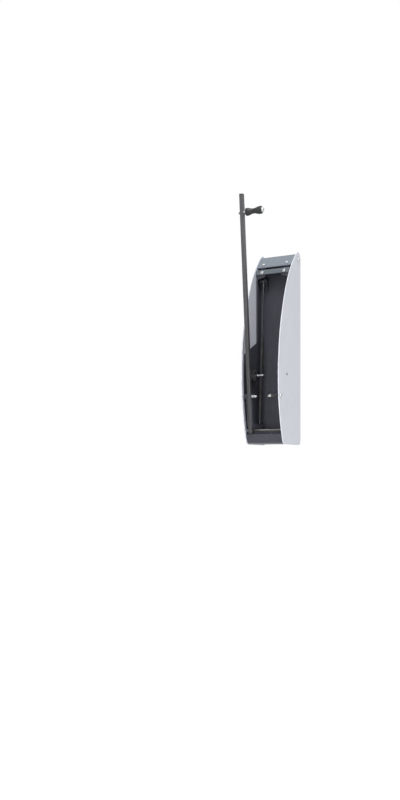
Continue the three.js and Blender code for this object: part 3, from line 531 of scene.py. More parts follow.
def ring(node, slot, edge, bore, outer=None, body="root"):
    """A turned ring with the width of its CAD node, and its outer radius unless another is given."""
    place, wide = near_end(node, ACROSS)
    low, high = span(node, 1)
    shell = ring_shell(bore / 2, outer or (high - low) / 2, wide, edge)
    make_piece(node + "_turned", [aimed(shell, place, ACROSS)], node, slot, body)


# The side panel's outline


class PanelCurve:
    """The three arcs of the panel's front edge, and its corners."""

    def __init__(self):
        sizes = rack_sizes()
        deep, self.high = side_box("right_side_panel")[1], HOUSING_TOP - FOOT
        shoulder_shares = sizes.panel_shoulder_depth_share, sizes.panel_shoulder_share
        self.belly = self.high * sizes.panel_belly_share
        self.shoulder = np.array([deep, self.high]) * shoulder_shares
        self.tip_radius = sizes.panel_tip
        self.front_foot, self.rear_foot = sizes.panel_front_foot, sizes.panel_rear_foot
        self.lower_radius = self.fall_radius(deep - deep * sizes.panel_foot_share, self.belly)
        self.upper_radius = self.fall_radius(deep - self.shoulder[0], self.shoulder[1] - self.belly)
        self.lower = np.array([deep - self.lower_radius, self.belly])
        self.upper = np.array([deep - self.upper_radius, self.belly])
        self.tip = np.array([self.tip_radius, self.high - self.tip_radius])
        self.shoulder_angle = math.asin((self.shoulder[1] - self.belly) / self.upper_radius)
        facing = heading(self.shoulder_angle)
        away = self.shoulder - self.tip
        self.top_radius = (self.tip_radius**2 - away @ away) / (2 * (self.tip_radius - facing @ away))
        self.top = self.shoulder - facing * self.top_radius
        self.tip_angle = math.atan2(*(self.tip - self.top)[::-1])

    @staticmethod
    def fall_radius(fall, rise):
        """Radius of an arc that falls back by an amount over a rise."""
        return (fall**2 + rise**2) / (2 * fall)

    def edge_depth(self, height, inset=0.0):
        """Depth of the front edge at a height, moved in by an inset."""
        centre, radius = self.lower, self.lower_radius
        if height > self.belly:
            centre, radius = self.upper, self.upper_radius
        if height > self.shoulder[1]:
            centre, radius = self.top, self.top_radius
        return centre[0] + math.sqrt((radius - inset) ** 2 - (height - centre[1]) ** 2)

    def foot_edge(self, inset, to_height, rear, steps=18):
        """The foot line and front corner, moved in by an inset, and the edge up to a height."""
        radius = self.lower_radius - inset
        reach = self.lower_radius - self.front_foot
        turn = math.asin((self.front_foot - self.belly) / reach)
        corner = self.lower + reach * heading(turn)
        end = math.asin((to_height - self.belly) / radius)
        corner_line = arc(corner, self.front_foot - inset, -QUARTER, turn, steps=14)
        return np.vstack([[(rear, inset)], corner_line, arc(self.lower, radius, turn, end, steps)[1:]])

    def outline(self):
        """The whole panel, from the rear foot corner round to the tip."""
        return np.vstack([
            arc((self.rear_foot, self.rear_foot), self.rear_foot, -math.pi, -QUARTER, steps=14),
            self.foot_edge(0, self.belly, self.rear_foot, steps=30)[1:],
            arc(self.upper, self.upper_radius, 0, self.shoulder_angle, steps=44)[1:],
            arc(self.top, self.top_radius, self.shoulder_angle, self.tip_angle, steps=20)[1:],
            arc(self.tip, self.tip_radius, self.tip_angle, math.pi, steps=26)[1:],
        ])


# Finishes: node trees that read Object coordinates

WHITE = (1.0, 1.0, 1.0, 1.0)
HANDLED_PLASTIC = [0.09, 0.09, 0.095]


def tinted(colour, *factors):
    """A colour made lighter or darker by a factor, or by one for each of its parts, with its alpha."""
    return [min(1.0, part) for part in np.array(colour) * factors] + [1.0]


class Nodes:
    """A cleared node tree. An input takes a value, or another node's output socket."""

    def __init__(self, owner):
        owner.use_nodes = True
        self.tree = owner.node_tree
        self.tree.nodes.clear()

    def add(self, kind, inputs=None, **settings):
        made = self.tree.nodes.new(kind)
        for name, value in settings.items():
            setattr(made, name, value)
        self.feed(made, inputs or {})
        return made

    def feed(self, made, inputs):
        for name, value in inputs.items():
            if isinstance(value, bpy.types.NodeSocket):
                self.tree.links.new(value, made.inputs[name])
            else:
                made.inputs[name].default_value = value

    def between(self, value, low, high, to_low=0.0, to_high=1.0):
        """A value's range stretched to another range, and held there."""
        inputs = {"Value": value, "From Min": low, "From Max": high, "To Min": to_low, "To Max": to_high}
        return self.add("ShaderNodeMapRange", inputs).outputs["Result"]

    def blended(self, factor, first, second, **settings):
        """A mix of two colours, which are sockets or plain colours."""
        inputs = {0: factor, 6: first, 7: second}
        return self.add("ShaderNodeMix", inputs, data_type="RGBA", **settings).outputs[2]

    def worked_out(self, operation, first, second):
        return self.add("ShaderNodeMath", {0: first, 1: second}, operation=operation).outputs[0]

    def by_ray(self, lighting, seen):
        """A value for light that falls on the object, and one for rays from a camera, mirror or glass."""
        path = self.add("ShaderNodeLightPath")
        found = path.outputs["Is Camera Ray"]
        for name in ("Is Glossy Ray", "Is Transmission Ray"):
            found = self.worked_out("MAXIMUM", found, path.outputs[name])
        return self.between(found, 0.0, 1.0, lighting, seen)


class Surface(Nodes):
    """A material with its coordinates, one shader and its output."""

    def __init__(self, name):
        self.material = bpy.data.materials.new(name)
        super().__init__(self.material)
        self.place = self.add("ShaderNodeTexCoord").outputs["Object"]
        self.shader = self.add("ShaderNodeBsdfPrincipled")
        self.add("ShaderNodeOutputMaterial", {"Surface": self.shader.outputs["BSDF"]})

    def noise(self, scale, detail, roughness=0.5, stretch=None):
        """Noise, which a scale for each axis draws out into streaks."""
        place = self.place
        if stretch:
            place = self.add("ShaderNodeMapping", {"Vector": place, "Scale": stretch}).outputs["Vector"]
        inputs = {"Vector": place, "Scale": scale, "Detail": detail, "Roughness": roughness}
        return self.add("ShaderNodeTexNoise", inputs).outputs["Fac"]

    def cells(self, scale):
        return self.add("ShaderNodeTexVoronoi", {"Vector": self.place, "Scale": scale}).outputs["Distance"]

    def finished(self, tone, roughness, relief, strength, depth, constant):
        """The material, with its tone, its roughness, a relief of a depth, and a constant input."""
        bump = self.add("ShaderNodeBump", {"Height": relief, "Strength": strength, "Distance": depth})
        inputs = {"Base Color": tone, "Roughness": roughness, "Normal": bump.outputs["Normal"], **constant}
        self.feed(self.shader, inputs)
        return self.material


def powder_coat(name, colour, roughness, gloss, wander, dusty, peel, fade=None):
    """Powder coat: slow clouds in its tone, dust in upright streaks, rubbed specks and orange peel.

    Its tone wanders by a share, and dusty is the share of dust it holds. fade darkens it towards its foot as
     painted shade: the heights where it starts and ends, and the share of its tone left there.
    """
    dust = bpy.context.scene.rack_finishes.dust
    made = Surface(name)
    clouds = made.between(made.noise(9.0, 4.0), 0.3, 0.7)
    tone = made.blended(clouds, tinted(colour, 1 - wander), tinted(colour, 1 + wander))
    streaks = made.noise(1.0, 5.0, 0.6, stretch=(70.0, 70.0, 5.0))
    patches = made.noise(22.0, 2.0)
    streaky = made.between(streaks, 0.5, 0.78, 0.0, dusty)
    patchy = made.between(patches, 0.4, 0.65, 0.2, 1.0)
    tone = made.blended(made.worked_out("MULTIPLY", streaky, patchy), tone, tinted(dust, 1))
    specks = made.between(made.noise(420.0, 2.0, 0.7), 0.66, 0.8, 0.0, dusty * 0.6)
    tone = made.blended(specks, tone, tinted(dust, 1.15))
    # Painted shade: the tone darkens towards the foot.
    if fade:
        start, end, left = fade
        height = made.add("ShaderNodeSeparateXYZ", {"Vector": made.place}).outputs["Z"]
        painted_foot_shade = made.blended(1.0, tone, tinted(WHITE[:3], left), blend_type="MULTIPLY")
        tone = made.blended(made.between(height, start, end), tone, painted_foot_shade)
    rough = made.between(patches, 0.3, 0.7, roughness - 0.05, roughness + 0.08)
    skin = made.noise(850.0, 2.0, 0.55)
    return made.finished(tone, rough, skin, 0.6, peel, {"Specular IOR Level": gloss})


def plating(name, colour, roughness, mottle, grain):
    """Bare plating: a metal with a turned grain, whose tint shifts between cool and warm in spangles."""
    made = Surface(name)
    clouds = made.noise(90.0, 3.0)
    cool, warm = tinted(colour, 0.95, 0.985, 1.03), tinted(colour, 1.03, 1, 0.93)
    tint = made.blended(made.between(clouds, 0.35, 0.65), cool, warm)
    spangle = made.between(made.cells(260.0), 0.0, 0.6, 0.0, mottle)
    tint = made.blended(spangle, tint, tinted(colour, 0.72))
    rough = made.between(clouds, 0.3, 0.7, roughness * 0.8, roughness * 1.25)
    lines = made.noise(1.0, 2.0, stretch=(2400.0, 300.0, 300.0))
    return made.finished(tint, rough, lines, 0.4, grain, {"Metallic": 1.0})


def moulded(name, colour, roughness, grain, bloom):
    """Moulded plastic or rubber: a leathery grain, and a pale bloom where it has been handled."""
    made = Surface(name)
    clouds = made.noise(45.0, 4.0)
    handled = made.between(clouds, 0.42, 0.75, 0.0, bloom)
    tone = made.blended(handled, tinted(colour, 1), tinted(HANDLED_PLASTIC, 1))
    rough = made.between(clouds, 0.3, 0.7, roughness - 0.06, roughness + 0.08)
    return made.finished(tone, rough, made.cells(900.0), 0.5, grain, {"Specular IOR Level": 0.4})


# How each finish is made, with a powder coat's roughness, gloss, wander, dust, peel and fade, a painted
# shade towards the foot, a plating's roughness, mottle and grain, and a moulding's roughness, grain and bloom

FINISH_MAKERS = {
    "panel_paint": (powder_coat, 0.42, 0.45, 0.02, 0.03, 0.04 * MM),
    "dark_paint": (powder_coat, 0.5, 0.3, 0.08, 0.16, 0.05 * MM),
    # The trim's dark coat is painted shade.
    "trim_paint": (powder_coat, 0.6, 0.2, 0.08, 0.1, 0.05 * MM),
    # The floor's pale look is part wear, part painted light on its lip.
    "worn_paint": (powder_coat, 0.55, 0.3, 0.14, 0.3, 0.05 * MM),
    # The cover paint's light tone is a painted sky reflection on the anthracite coat.
    "cover_paint": (powder_coat, 0.4, 0.45, 0.05, 0.1, 0.04 * MM),
    # The crossbar's look darkens the cover's coat as painted shade.
    "crossbar_paint": (powder_coat, 0.4, 0.45, 0.05, 0.1, 0.04 * MM),
    # The arm's fade is painted shade, darker towards its foot where the channel shades it.
    "arm_paint": (powder_coat, 0.42, 0.45, 0.05, 0.14, 0.04 * MM, (0.3, -0.1, 0.45)),
    "zinc": (plating, 0.26, 0.5, 0.02 * MM),
    "dull_zinc": (plating, 0.45, 0.6, 0.03 * MM),
    "chrome": (plating, 0.08, 0.06, 0.004 * MM),
    "black_plastic": (moulded, 0.42, 0.03 * MM, 0.35),
    "strut_paint": (moulded, 0.68, 0.02 * MM, 0.2),
    "rubber": (moulded, 0.75, 0.06 * MM, 0.6),
}


def finish(look):
    """The material of a slot or of a look, made at its first use."""
    name = look + "_finish"
    maker, *settings = FINISH_MAKERS[look]
    colour = getattr(bpy.context.scene.rack_finishes, look)
    return bpy.data.materials.get(name) or maker(name, colour, *settings)


# Operators, one for each group of pieces


class RACK_OT_finishes(bpy.types.Operator):
    """Gives every node of the frame the finish of its slot, and the strut's bracket the channels' paint"""

    bl_idname = "rack.finishes"
    bl_label = "Finishes"

    def execute(self, context):
        looks = {row["node"]: row["material_slot"] for row in frame["record"]["subparts"]}
        looks["strut_anchor_bracket"] = "dark_paint"
        for node, look in looks.items():
            materials = frame["nodes"][node].data.materials
            materials.clear()
            materials.append(finish(look))
        return {"FINISHED"}


class RACK_OT_side_panels(bpy.types.Operator):
    """Cuts both side panels from their three arcs, with rounded edges and drilled holes"""

    bl_idname = "rack.side_panels"
    bl_label = "Side panels"

    def execute(self, context):
        outline = PanelCurve().outline()
        edge = rack_sizes().panel_edge
        holes = [(middle("right_panel_bolt"), MEDIUM_BORE), (PIVOT, LARGE_BORE), (STOP, MEDIUM_BORE)]
        for word, _ in SIDES:
            node = f"{word}_side_panel"
            drilled_plate(f"{word}_panel_plate", node, outline, edge, "panel_paint", "root", holes)
        return {"FINISHED"}


def cover_slope():
    """The top cover's lip and crest, and the direction of its slope and of its face."""
    lip_drop, lip_inset, crest_drop, crest_depth = mm(63.5, 3.4, 12.5, 50)
    curve = PanelCurve()
    lip_height = curve.high - lip_drop
    lip = np.array([curve.edge_depth(lip_height) - lip_inset, lip_height])
    crest = np.array([crest_depth, curve.high - crest_drop])
    slope = unit(crest - lip)
    return lip, crest, slope, np.array([slope[1], -slope[0]])


class RACK_OT_covers(bpy.types.Operator):
    """Folds the top cover, the crossbar, the channel floor, the bottom cover and its trim from sheet"""

    bl_idname = "rack.covers"
    bl_label = "Covers"

    def execute(self, context):
        lip_return = 5 * MM
        lip, crest, _, face = cover_slope()
        outline = folded([(SEAT_GAP, crest[1]), crest, lip, lip - face * lip_return], -COVER_SHEET)
        # The top cover's lighter paint is a painted sky reflection.
        self.strip("top_cover_sheet", outline, "top_cover", "cover_paint")

        back, front, low, top = side_box("upper_crossbar")
        outline = folded([(back, top), (front, top), (front, low)], -CROSSBAR_SHEET)
        # Its own look paints the shade that the top cover casts on the crossbar.
        self.strip("upper_crossbar_sheet", outline, "upper_crossbar", "cover_paint", "crossbar_paint")

        back, front, low, top = side_box("channel_floor")
        outline = folded([(back, low), (front, low), (front, top)], FLOOR_SHEET)
        # Its pale look paints the light on the floor's lip, along with scuffs.
        self.strip("channel_floor_sheet", outline, "channel_floor", "dark_paint", "worn_paint")
        self.bottom_cover()
        return {"FINISHED"}

    def bottom_cover(self):
        """A sheet that follows the panels' foot, with a rim that turns back, and an angle trim on the rim,
        whose darkened coat paints the shade in the gap above the cover.
        """
        sizes, curve = rack_sizes(), PanelCurve()
        rim_height, rim, trim_side = mm(42, 14, 11)
        thick = COVER_SHEET
        outer = curve.foot_edge(BOTTOM_COVER_INSET, rim_height, SEAT_GAP)
        inner = curve.foot_edge(BOTTOM_COVER_INSET + thick, rim_height - thick, SEAT_GAP)
        rear = outer[-1, 0] - rim
        loop = np.vstack([outer, [(rear, rim_height), (rear, rim_height - thick)], inner[::-1]])
        radii = np.zeros(len(loop))
        radii[[0, -1, len(outer), len(outer) + 1]] = sizes.sheet_edge
        radii[len(outer) - 1] = sizes.bend + thick
        radii[len(outer) + 2] = sizes.bend
        corners = filleted(loop, radii).reshape(len(loop), -1, 2)
        outline = np.vstack([corner if radius else corner[:1] for corner, radius in zip(corners, radii)])
        self.strip("bottom_cover_sheet", outline, "bottom_cover", "dark_paint")

        on_rim = rim_height + SEAT_GAP
        outline = folded([(rear + trim_side, on_rim), (rear, on_rim), (rear, on_rim + trim_side)], -thick)
        # The trim's darkened look paints the shade in the gap above the cover.
        self.strip("bottom_cover_trim", outline, None, "dark_paint", "trim_paint")

    @staticmethod
    def strip(name, outline, node, slot, look=None):
        """A folded sheet that runs across between the side panels."""
        shell = side_slab(outline, -FIT_HALF, FIT_HALF, rack_sizes().sheet_edge)
        make_piece(name, [shell], node, slot, look=look)


class RACK_OT_channel(bpy.types.Operator):
    """Folds the front channel: side walls that follow the panels, lips above them and gussets at the top"""

    bl_idname = "rack.channel"
    bl_label = "Front channel"

    def execute(self, context):
        shoulder, lip_low = PIVOT[2] + 170 * MM, PIVOT[2] + 230 * MM
        foot_band, gusset_high, lip_growth, gusset_growth = mm(3.5, 24, 9, 12)
        wall_inset, bolt_reach, above_band = mm(14, 20, 0.1)
        wall_rows, growth_rows = 60, 8
        low, high = span("front_channel", 2)
        back = -span("front_channel", 1)[1]
        lip_front = -span("upper_crossbar", 1)[0] - CROSSBAR_SHEET - SEAT_GAP
        curve = PanelCurve()

        def front(height):
            """The panels' edge moved in, and above its shoulder a straight run to the lips."""
            if height <= low + foot_band:
                return lip_front
            edge = curve.edge_depth(min(height, shoulder) - FOOT, wall_inset)
            way = min(max(0.0, (height - shoulder) / (lip_low - shoulder)), 1.0)
            return edge * (1 - way) + lip_front * way

        way = np.linspace(0.1, 1, growth_rows)
        heights = np.concatenate([
            [low, low + foot_band],
            np.linspace(low + foot_band + above_band, lip_low, wall_rows),
            lip_low + lip_growth * way,
            high - gusset_high - gusset_growth * (1 - way),
            [high],
        ])
        lips = eased((heights - lip_low) / lip_growth)
        gussets = eased(1 - (high - gusset_high - heights) / gusset_growth)
        rows = zip(map(front, heights), lips, gussets)
        points, faces = stacked(np.array([self.section(back, *row) for row in rows]) * [1, -1], heights)
        made = make_piece("front_channel_sheet", [(points, faces)], "front_channel", "dark_paint")
        crossbar_bolts = [middle(f"{word}_crossbar_bolt") for word, _ in SIDES]
        bored(made, [
            (level_with(PIVOT), LARGE_BORE, PANEL_INSIDE),
            (level_with(STOP), MEDIUM_BORE, PANEL_INSIDE),
            *[(place, MEDIUM_BORE, bolt_reach, INTO_WALL) for place in crossbar_bolts],
        ])
        return {"FINISHED"}

    @staticmethod
    def section(back, front, lip, gusset):
        """Top view of the channel at a height, where its lip and gusset have grown by their shares."""
        lip_wide, gusset_wide = mm(6, 34)
        thick, edge, bend, half = CHANNEL_SHEET, rack_sizes().sheet_edge, rack_sizes().bend, FIT_HALF
        wide = thick + (lip_wide - thick) * lip + gusset_wide * gusset
        full = bend + thick
        outer = max(min(full * lip, wide - thick * 0.9), edge)
        tip = edge * lip
        inner = min(bend * lip, max(wide - thick - tip, 0))
        outside = [(wide - half, front), (-half, front), (-half, back)]
        inside = [(half - wide, front - thick), (half - thick, front - thick), (half - thick, back + thick)]
        corners = [corner for line in (outside, inside)
                   for corner in line + [(-across, depth) for across, depth in line[::-1]]]
        return filleted(corners, [edge, outer, full, full, outer, edge, tip, inner, bend, bend, inner, tip])


class RACK_OT_fasteners(bpy.types.Operator):
    """Turns every bolt, screw and nut, with sockets, threads and chamfers"""

    bl_idname = "rack.fasteners"
    bl_label = "Bolts and nuts"

    def execute(self, context):
        for word, side in SIDES:
            self.pair(f"{word}_panel", "medium", -side * ACROSS, 10 * MM)
            self.pair(f"{word}_crossbar", "medium", INTO_WALL, 11 * MM)
            self.sloping(word, side)
        self.pair("left_pivot", "large", ACROSS, 43 * MM)
        self.pair("right_pivot", "large", -ACROSS, 37 * MM)
        self.pair("stop", "medium", ACROSS, 29 * MM)
        self.pair("hook", "large", -ACROSS, 69 * MM, "arm")
        return {"FINISHED"}

    def pair(self, word, kind, direction, thread_from, body="root"):
        """A bolt and a nut in the places of their CAD nodes; the bolt node's box gives its length."""
        head_high = FASTENERS[kind][2]
        place, long = near_end(word + "_bolt", direction, head_high)
        self.put(word + "_bolt", button_bolt(kind, long - head_high, thread_from), place, direction, body)
        self.put(word + "_nut", hexagon_nut(kind), near_end(word + "_nut", direction)[0], direction, body)

    @staticmethod
    def put(node, shell, place, direction, body="root", look=None):
        suffix = "_cut" if node.endswith("_nut") else "_turned"
        make_piece(node + suffix, [aimed(shell, place, direction)], node, "zinc", body, look)

    def sloping(self, word, side):
        """The cover's bolt and nut, square to its slope, and the screw square to the foot's curve."""
        bolt_inset, bolt_rise, thread_past = mm(25.5, 17, 2.5)
        screw_inset, screw_height, screw_long, screw_thread_from = mm(7, 34.5, 8.5, 4)
        lip, _, slope, face = cover_slope()
        grip = 2 * COVER_SHEET + 2 * SEAT_GAP
        bolt_long = grip + FASTENERS["medium"][6] + thread_past
        bolt, nut = button_bolt("medium", bolt_long, grip), hexagon_nut("medium")
        for kind, sunk, shell in (("bolt", -SEAT_GAP, bolt), ("nut", grip, nut)):
            spot = lip + slope * bolt_rise - face * sunk
            place = self.side_spot(side * (PANEL_INSIDE - bolt_inset), spot)
            self.put(f"{word}_cover_{kind}", shell, place, [0.0, face[0], -face[1]])

        curve = PanelCurve()
        radius = curve.lower_radius - BOTTOM_COVER_INSET
        facing = heading(math.asin((screw_height - curve.belly) / radius))
        spot = curve.lower + facing * (radius + SEAT_GAP)
        place = self.side_spot(side * (PANEL_INSIDE - screw_inset), spot)
        shell = button_bolt("small", screw_long, screw_thread_from)
        self.put(f"{word}_bottom_screw", shell, place, [0.0, facing[0], -facing[1]], look="dull_zinc")

    @staticmethod
    def side_spot(across, spot):
        """A point, from its place across and its depth and height."""
        return np.array([across, -spot[0], FOOT + spot[1]])


class RACK_OT_pivots(bpy.types.Operator):
    """Turns the pivot's bush and spacer, the rubber stop, and a black plug whose dark face paints the shade
    inside the right panel's empty stop hole
    """

    bl_idname = "rack.pivots"
    bl_label = "Pivots and stop"

    def execute(self, context):
        ring("left_pivot_bush", "black_plastic", 1 * MM, LARGE_BORE)
        ring("right_pivot_spacer", "black_plastic", 0.8 * MM, LARGE_BORE)
        ring("stop_disc", "rubber", 2.5 * MM, MEDIUM_BORE)

        # The black plug stands for the shade inside the empty stop hole of the right panel.
        stem_end, stem = PANEL_INSIDE - PANEL_OUTSIDE, MEDIUM_BORE / 2 - SEAT_GAP
        seat, head, face = SEAT_GAP / 2, MEDIUM_BORE / 2 + 0.7 * MM, 0.9 * MM
        profile = [(stem_end, 0), (stem_end, stem), (seat, stem), (seat, head), (face, head), (face, 0)]
        shell = turned_solid(profile, mm(0, 0.5, 0, 0.1, 0.5, 0))
        shell = aimed(shell, level_with(STOP, PANEL_OUTSIDE), ACROSS)
        make_piece("right_panel_plug", [shell], None, "black_plastic")
        return {"FINISHED"}


class RACK_OT_arm(bpy.types.Operator):
    """Draws the arm's hollow tube, its two end caps and its crank plates"""

    bl_idname = "rack.arm"
    bl_label = "Lift arm"

    def execute(self, context):
        deep, wall, past_hook, foot_height = mm(20, 2, 68, 47)
        sizes = rack_sizes()
        low, high = span("lift_arm", 0)
        wide = high - low
        lean = math.atan2(PIVOT[1] - HOOK[1], HOOK[2] - PIVOT[2])
        top = np.linalg.norm((HOOK - PIVOT)[1:]) + past_hook
        tail = (PIVOT[2] - FOOT - foot_height) / math.cos(lean)
        outer = self.rounded_rectangle(wide, deep, sizes.arm_corner)
        inner = self.rounded_rectangle(wide - 2 * wall, deep - 2 * wall, sizes.arm_corner - wall / 2)

        points, _ = stacked(np.array([outer, outer, inner, inner, outer]), [-tail, top, top, -tail, -tail])
        shell = self.leaned(points, grid_faces(5, len(outer)), lean)
        tube = make_piece("arm_tube", [shell], "lift_arm", "arm_paint", "arm")
        bored(tube, [(level_with(point, LANE), LARGE_BORE, wide) for point in (PIVOT, HOOK)])

        flange_thick, flange_edge, plug_long, plug_edge = mm(2.5, 0.8, 12, 0.4)
        plug_sizes = [size - 2 * wall - 2 * SEAT_GAP for size in (wide, deep)]
        flange = slab(outer, 0, flange_thick, flange_edge)
        plug = slab(self.rounded_rectangle(*plug_sizes, wall), -plug_long, plug_edge, plug_edge)
        for node, end, way in (("arm_top_cap", top, 1), ("arm_tail_cap", -tail, -1)):
            shells = [self.leaned(points * [1, 1, way] + [0, 0, end + way * SEAT_GAP], faces, lean)
                      for points, faces in (flange, plug)]
            make_piece(node + "_moulded", shells, node, "black_plastic", "arm")

        outline = self.elbow(side_view(PIVOT), side_view(CRANK_PIN), lean)
        holes = [(PIVOT, LARGE_BORE), (CRANK_PIN, MEDIUM_BORE)]
        for word, _ in SIDES:
            node = f"{word}_crank_plate"
            drilled_plate(node + "_cut", node, outline, sizes.plate_edge, "dark_paint", "arm", holes)
        return {"FINISHED"}

    @staticmethod
    def rounded_rectangle(wide, deep, corner):
        corners = np.array([wide, deep]) / 2 * [(1, 1), (-1, 1), (-1, -1), (1, -1)]
        return filleted(corners, [corner] * 4, steps=6)

    @staticmethod
    def leaned(points, faces, lean):
        """A shell from the arm's pivot, turned about X so that its upright axis leans out from the wall."""
        across, out, up = points.T
        turned_out = out * math.cos(lean) - up * math.sin(lean)
        turned_up = out * math.sin(lean) + up * math.cos(lean)
        return np.stack([across, turned_out, turned_up], -1) + level_with(PIVOT, LANE), faces

    @staticmethod
    def elbow(hub, pin, lean):
        """Outline of a crank plate: a leg down the leaning arm and a foot back to the pin.

        A side of the upper leg lies half the plate's width from the arm's line, so at a height above the hub
        its depth is (side * half width + height * sin lean) / cos lean.
        """
        wide, end, inner_round, outer_round = mm(10, 9.5, 16, 22)
        out, up = pin - hub

        def on_arm(side, height):
            return (side * wide + height * math.sin(lean)) / math.cos(lean), height

        corners = [
            on_arm(1, wide), on_arm(-1, wide), on_arm(-1, up + wide),
            (out - wide, up + wide), (out - wide, up - wide), on_arm(1, up - wide),
        ]
        return filleted(corners, [end, end, inner_round, end, end, outer_round], steps=9) + hub


class RACK_OT_hook(bpy.types.Operator):
    """Turns the hook's waisted roller and its washer"""

    bl_idname = "rack.hook"
    bl_label = "Wheel hook"

    def execute(self, context):
        edge, recess_wide, recess_floor, recess_deep = mm(1.5, 4, 3.6, 0.8)
        fall_from, rise_from, slope_share, slope_rows, edge_rows = 0.08, 0.5, 0.36, 15, 6
        place, long = near_end("hook_roller", ACROSS)
        rim, waist, bore = rack_sizes().roller_rim, rack_sizes().roller_waist, LARGE_BORE / 2
        way = np.linspace(0, 1, slope_rows)
        ease = (1 - np.cos(math.pi * way)) / 2
        fall = np.stack([long * (fall_from + slope_share * way), rim + (waist - rim) * ease], -1)
        rise = np.stack([long * (rise_from + slope_share * way), waist + (rim - waist) * ease], -1)
        turn = np.linspace(0, QUARTER, edge_rows)
        near = np.stack([edge * (1 - np.sin(turn)), rim - edge * (1 - np.cos(turn))], -1)[::-1]
        far = near[::-1] * [-1, 1] + [long, 0]
        floor = long - recess_deep
        recess = [(long, bore + recess_wide), (floor, bore + recess_floor), (floor, bore), (0, bore)]
        shell = turned(np.vstack([[(0, bore)], near, fall, rise, far, recess]))
        shell = aimed(shell, place, ACROSS)
        make_piece("hook_roller_turned", [shell], "hook_roller", "black_plastic", "hook_roller")
        ring("hook_washer", "zinc", 0.6 * MM, LARGE_BORE, 10.5 * MM, "arm")
        return {"FINISHED"}


class RACK_OT_strut(bpy.types.Operator):
    """Turns the gas strut's rod, cylinder and eyes, and the pins at both its ends"""

    bl_idname = "rack.strut"
    bl_label = "Gas strut"

    def execute(self, context):
        rod_eye, lower_eye, rod, bore = mm(26, 28, 3, 6.2)
        foot, head = level_with(CRANK_PIN, LANE), level_with(STRUT_ANCHOR, LANE)
        long = np.linalg.norm(head - foot)
        up_strut = (head - foot) / long
        tube_low, tube_high = lower_eye + SEAT_GAP, self.tube_top(foot, up_strut)

        rod_end, piston = long - rod_eye - SEAT_GAP, bore - SEAT_GAP
        piston_low, piston_high = tube_high - 32 * MM, tube_high - 20 * MM
        profile = [
            (piston_low, 0), (piston_low, piston), (piston_high, piston),
            (piston_high, rod), (rod_end, rod), (rod_end, 0),
        ]
        shell = aimed(turned_solid(profile, mm(0, 0.6, 0.6, 0, 0.5, 0)), foot, up_strut)
        make_piece("strut_rod_ground", [shell], "strut_rod", "chrome", "strut_rod")

        node, wall = "strut_cylinder", STRUT_TUBE_RADIUS
        groove_half, groove_deep = mm(1.4, 0.9)
        groove, inner_low = tube_high - 14.6 * MM, tube_low + 4 * MM
        profile = [
            (tube_low, 0), (tube_low, wall), (groove - groove_half, wall),
            (groove, wall - groove_deep), (groove + groove_half, wall), (tube_high, wall),
            (tube_high, bore), (inner_low, bore), (inner_low, 0),
        ]
        shell = aimed(turned_solid(profile, mm(0, 1.6, 0.6, 0.7, 0.6, 1.1, 0.3, 0.5, 0)), foot, up_strut)
        make_piece("strut_cylinder_drawn", [shell], node, "black_plastic", node, "strut_paint")

        self.eye("strut_rod_eye", head, -up_strut, rod_eye, "strut_rod")
        self.eye("strut_lower_eye", foot, up_strut, lower_eye, "strut_cylinder")
        self.pin("strut_anchor_pin", ACROSS, "root")
        self.pin("left_crank_pin", ACROSS, "arm")
        self.pin("right_crank_pin", -ACROSS, "arm")
        return {"FINISHED"}

    @staticmethod
    def tube_top(foot, up_strut):
        """How far up the strut its cylinder reaches, from the CAD node's highest point."""
        tilt = STRUT_TUBE_RADIUS * abs(up_strut[1])
        return (span("strut_cylinder", 2)[1] - tilt - foot[2]) / up_strut[2]

    @staticmethod
    def eye(node, place, direction, neck, body):
        """A ring round the pin, with a neck that runs to the rod or the cylinder."""
        wide, outer, loop_edge, start, thick, thin, shoulder, step = mm(10, 9, 1.2, 5.5, 5, 4.3, 5, 4)
        loop = ring_shell(MEDIUM_BORE / 2, outer, wide, loop_edge)
        loop = aimed(loop, place - ACROSS * wide / 2, ACROSS)
        profile = [
            (start, 0), (start, thick), (neck - shoulder, thick),
            (neck - step, thin), (neck, thin), (neck, 0),
        ]
        stem = aimed(turned_solid(profile, mm(0, 0, 0.4, 0.4, 0.4, 0)), place, direction)
        make_piece(node + "_forged", [loop, stem], node, "zinc", body, "dull_zinc")

    @staticmethod
    def pin(node, direction, body):
        """A headed pin with rounded edges."""
        head_high, head, radius = mm(3, 7, 4)
        place, long = near_end(node, direction, head_high)
        end = long - head_high
        profile = [(-head_high, 0), (-head_high, head), (0, head), (0, radius), (end, radius), (end, 0)]
        shell = turned_solid(profile, mm(0, 0.8, 0.3, 0.2, 0.7, 0))
        make_piece(node + "_turned", [aimed(shell, place, direction)], node, "zinc", body, "dull_zinc")


# The stage. A lamp is its place, its size, how far it aims below the others' aim, and its spread

PICTURE_HEIGHT = 800
FLOOR_REACH = 30.0
FLOOR_TONE = (0.86, 0.86, 0.86, 1.0)
FLOOR_GLOW = 0.58
LAMP_AIM = (0.0, -0.1, 0.0)
LAMPS = {
    "key": ((2.2, -2.3, 3.0), 1.8, 0.0, math.pi),
    "top": ((0.4, -2.4, 3.3), 1.6, 0.0, math.pi),
    "front": ((0.6, -2.5, -0.65), 0.9, 0.34, 0.6),
    "fill": ((-2.6, -2.2, 0.9), 2.4, 0.0, math.pi),
    "rear": ((-1.2, 2.8, 1.8), 2.4, 0.0, math.pi),
}


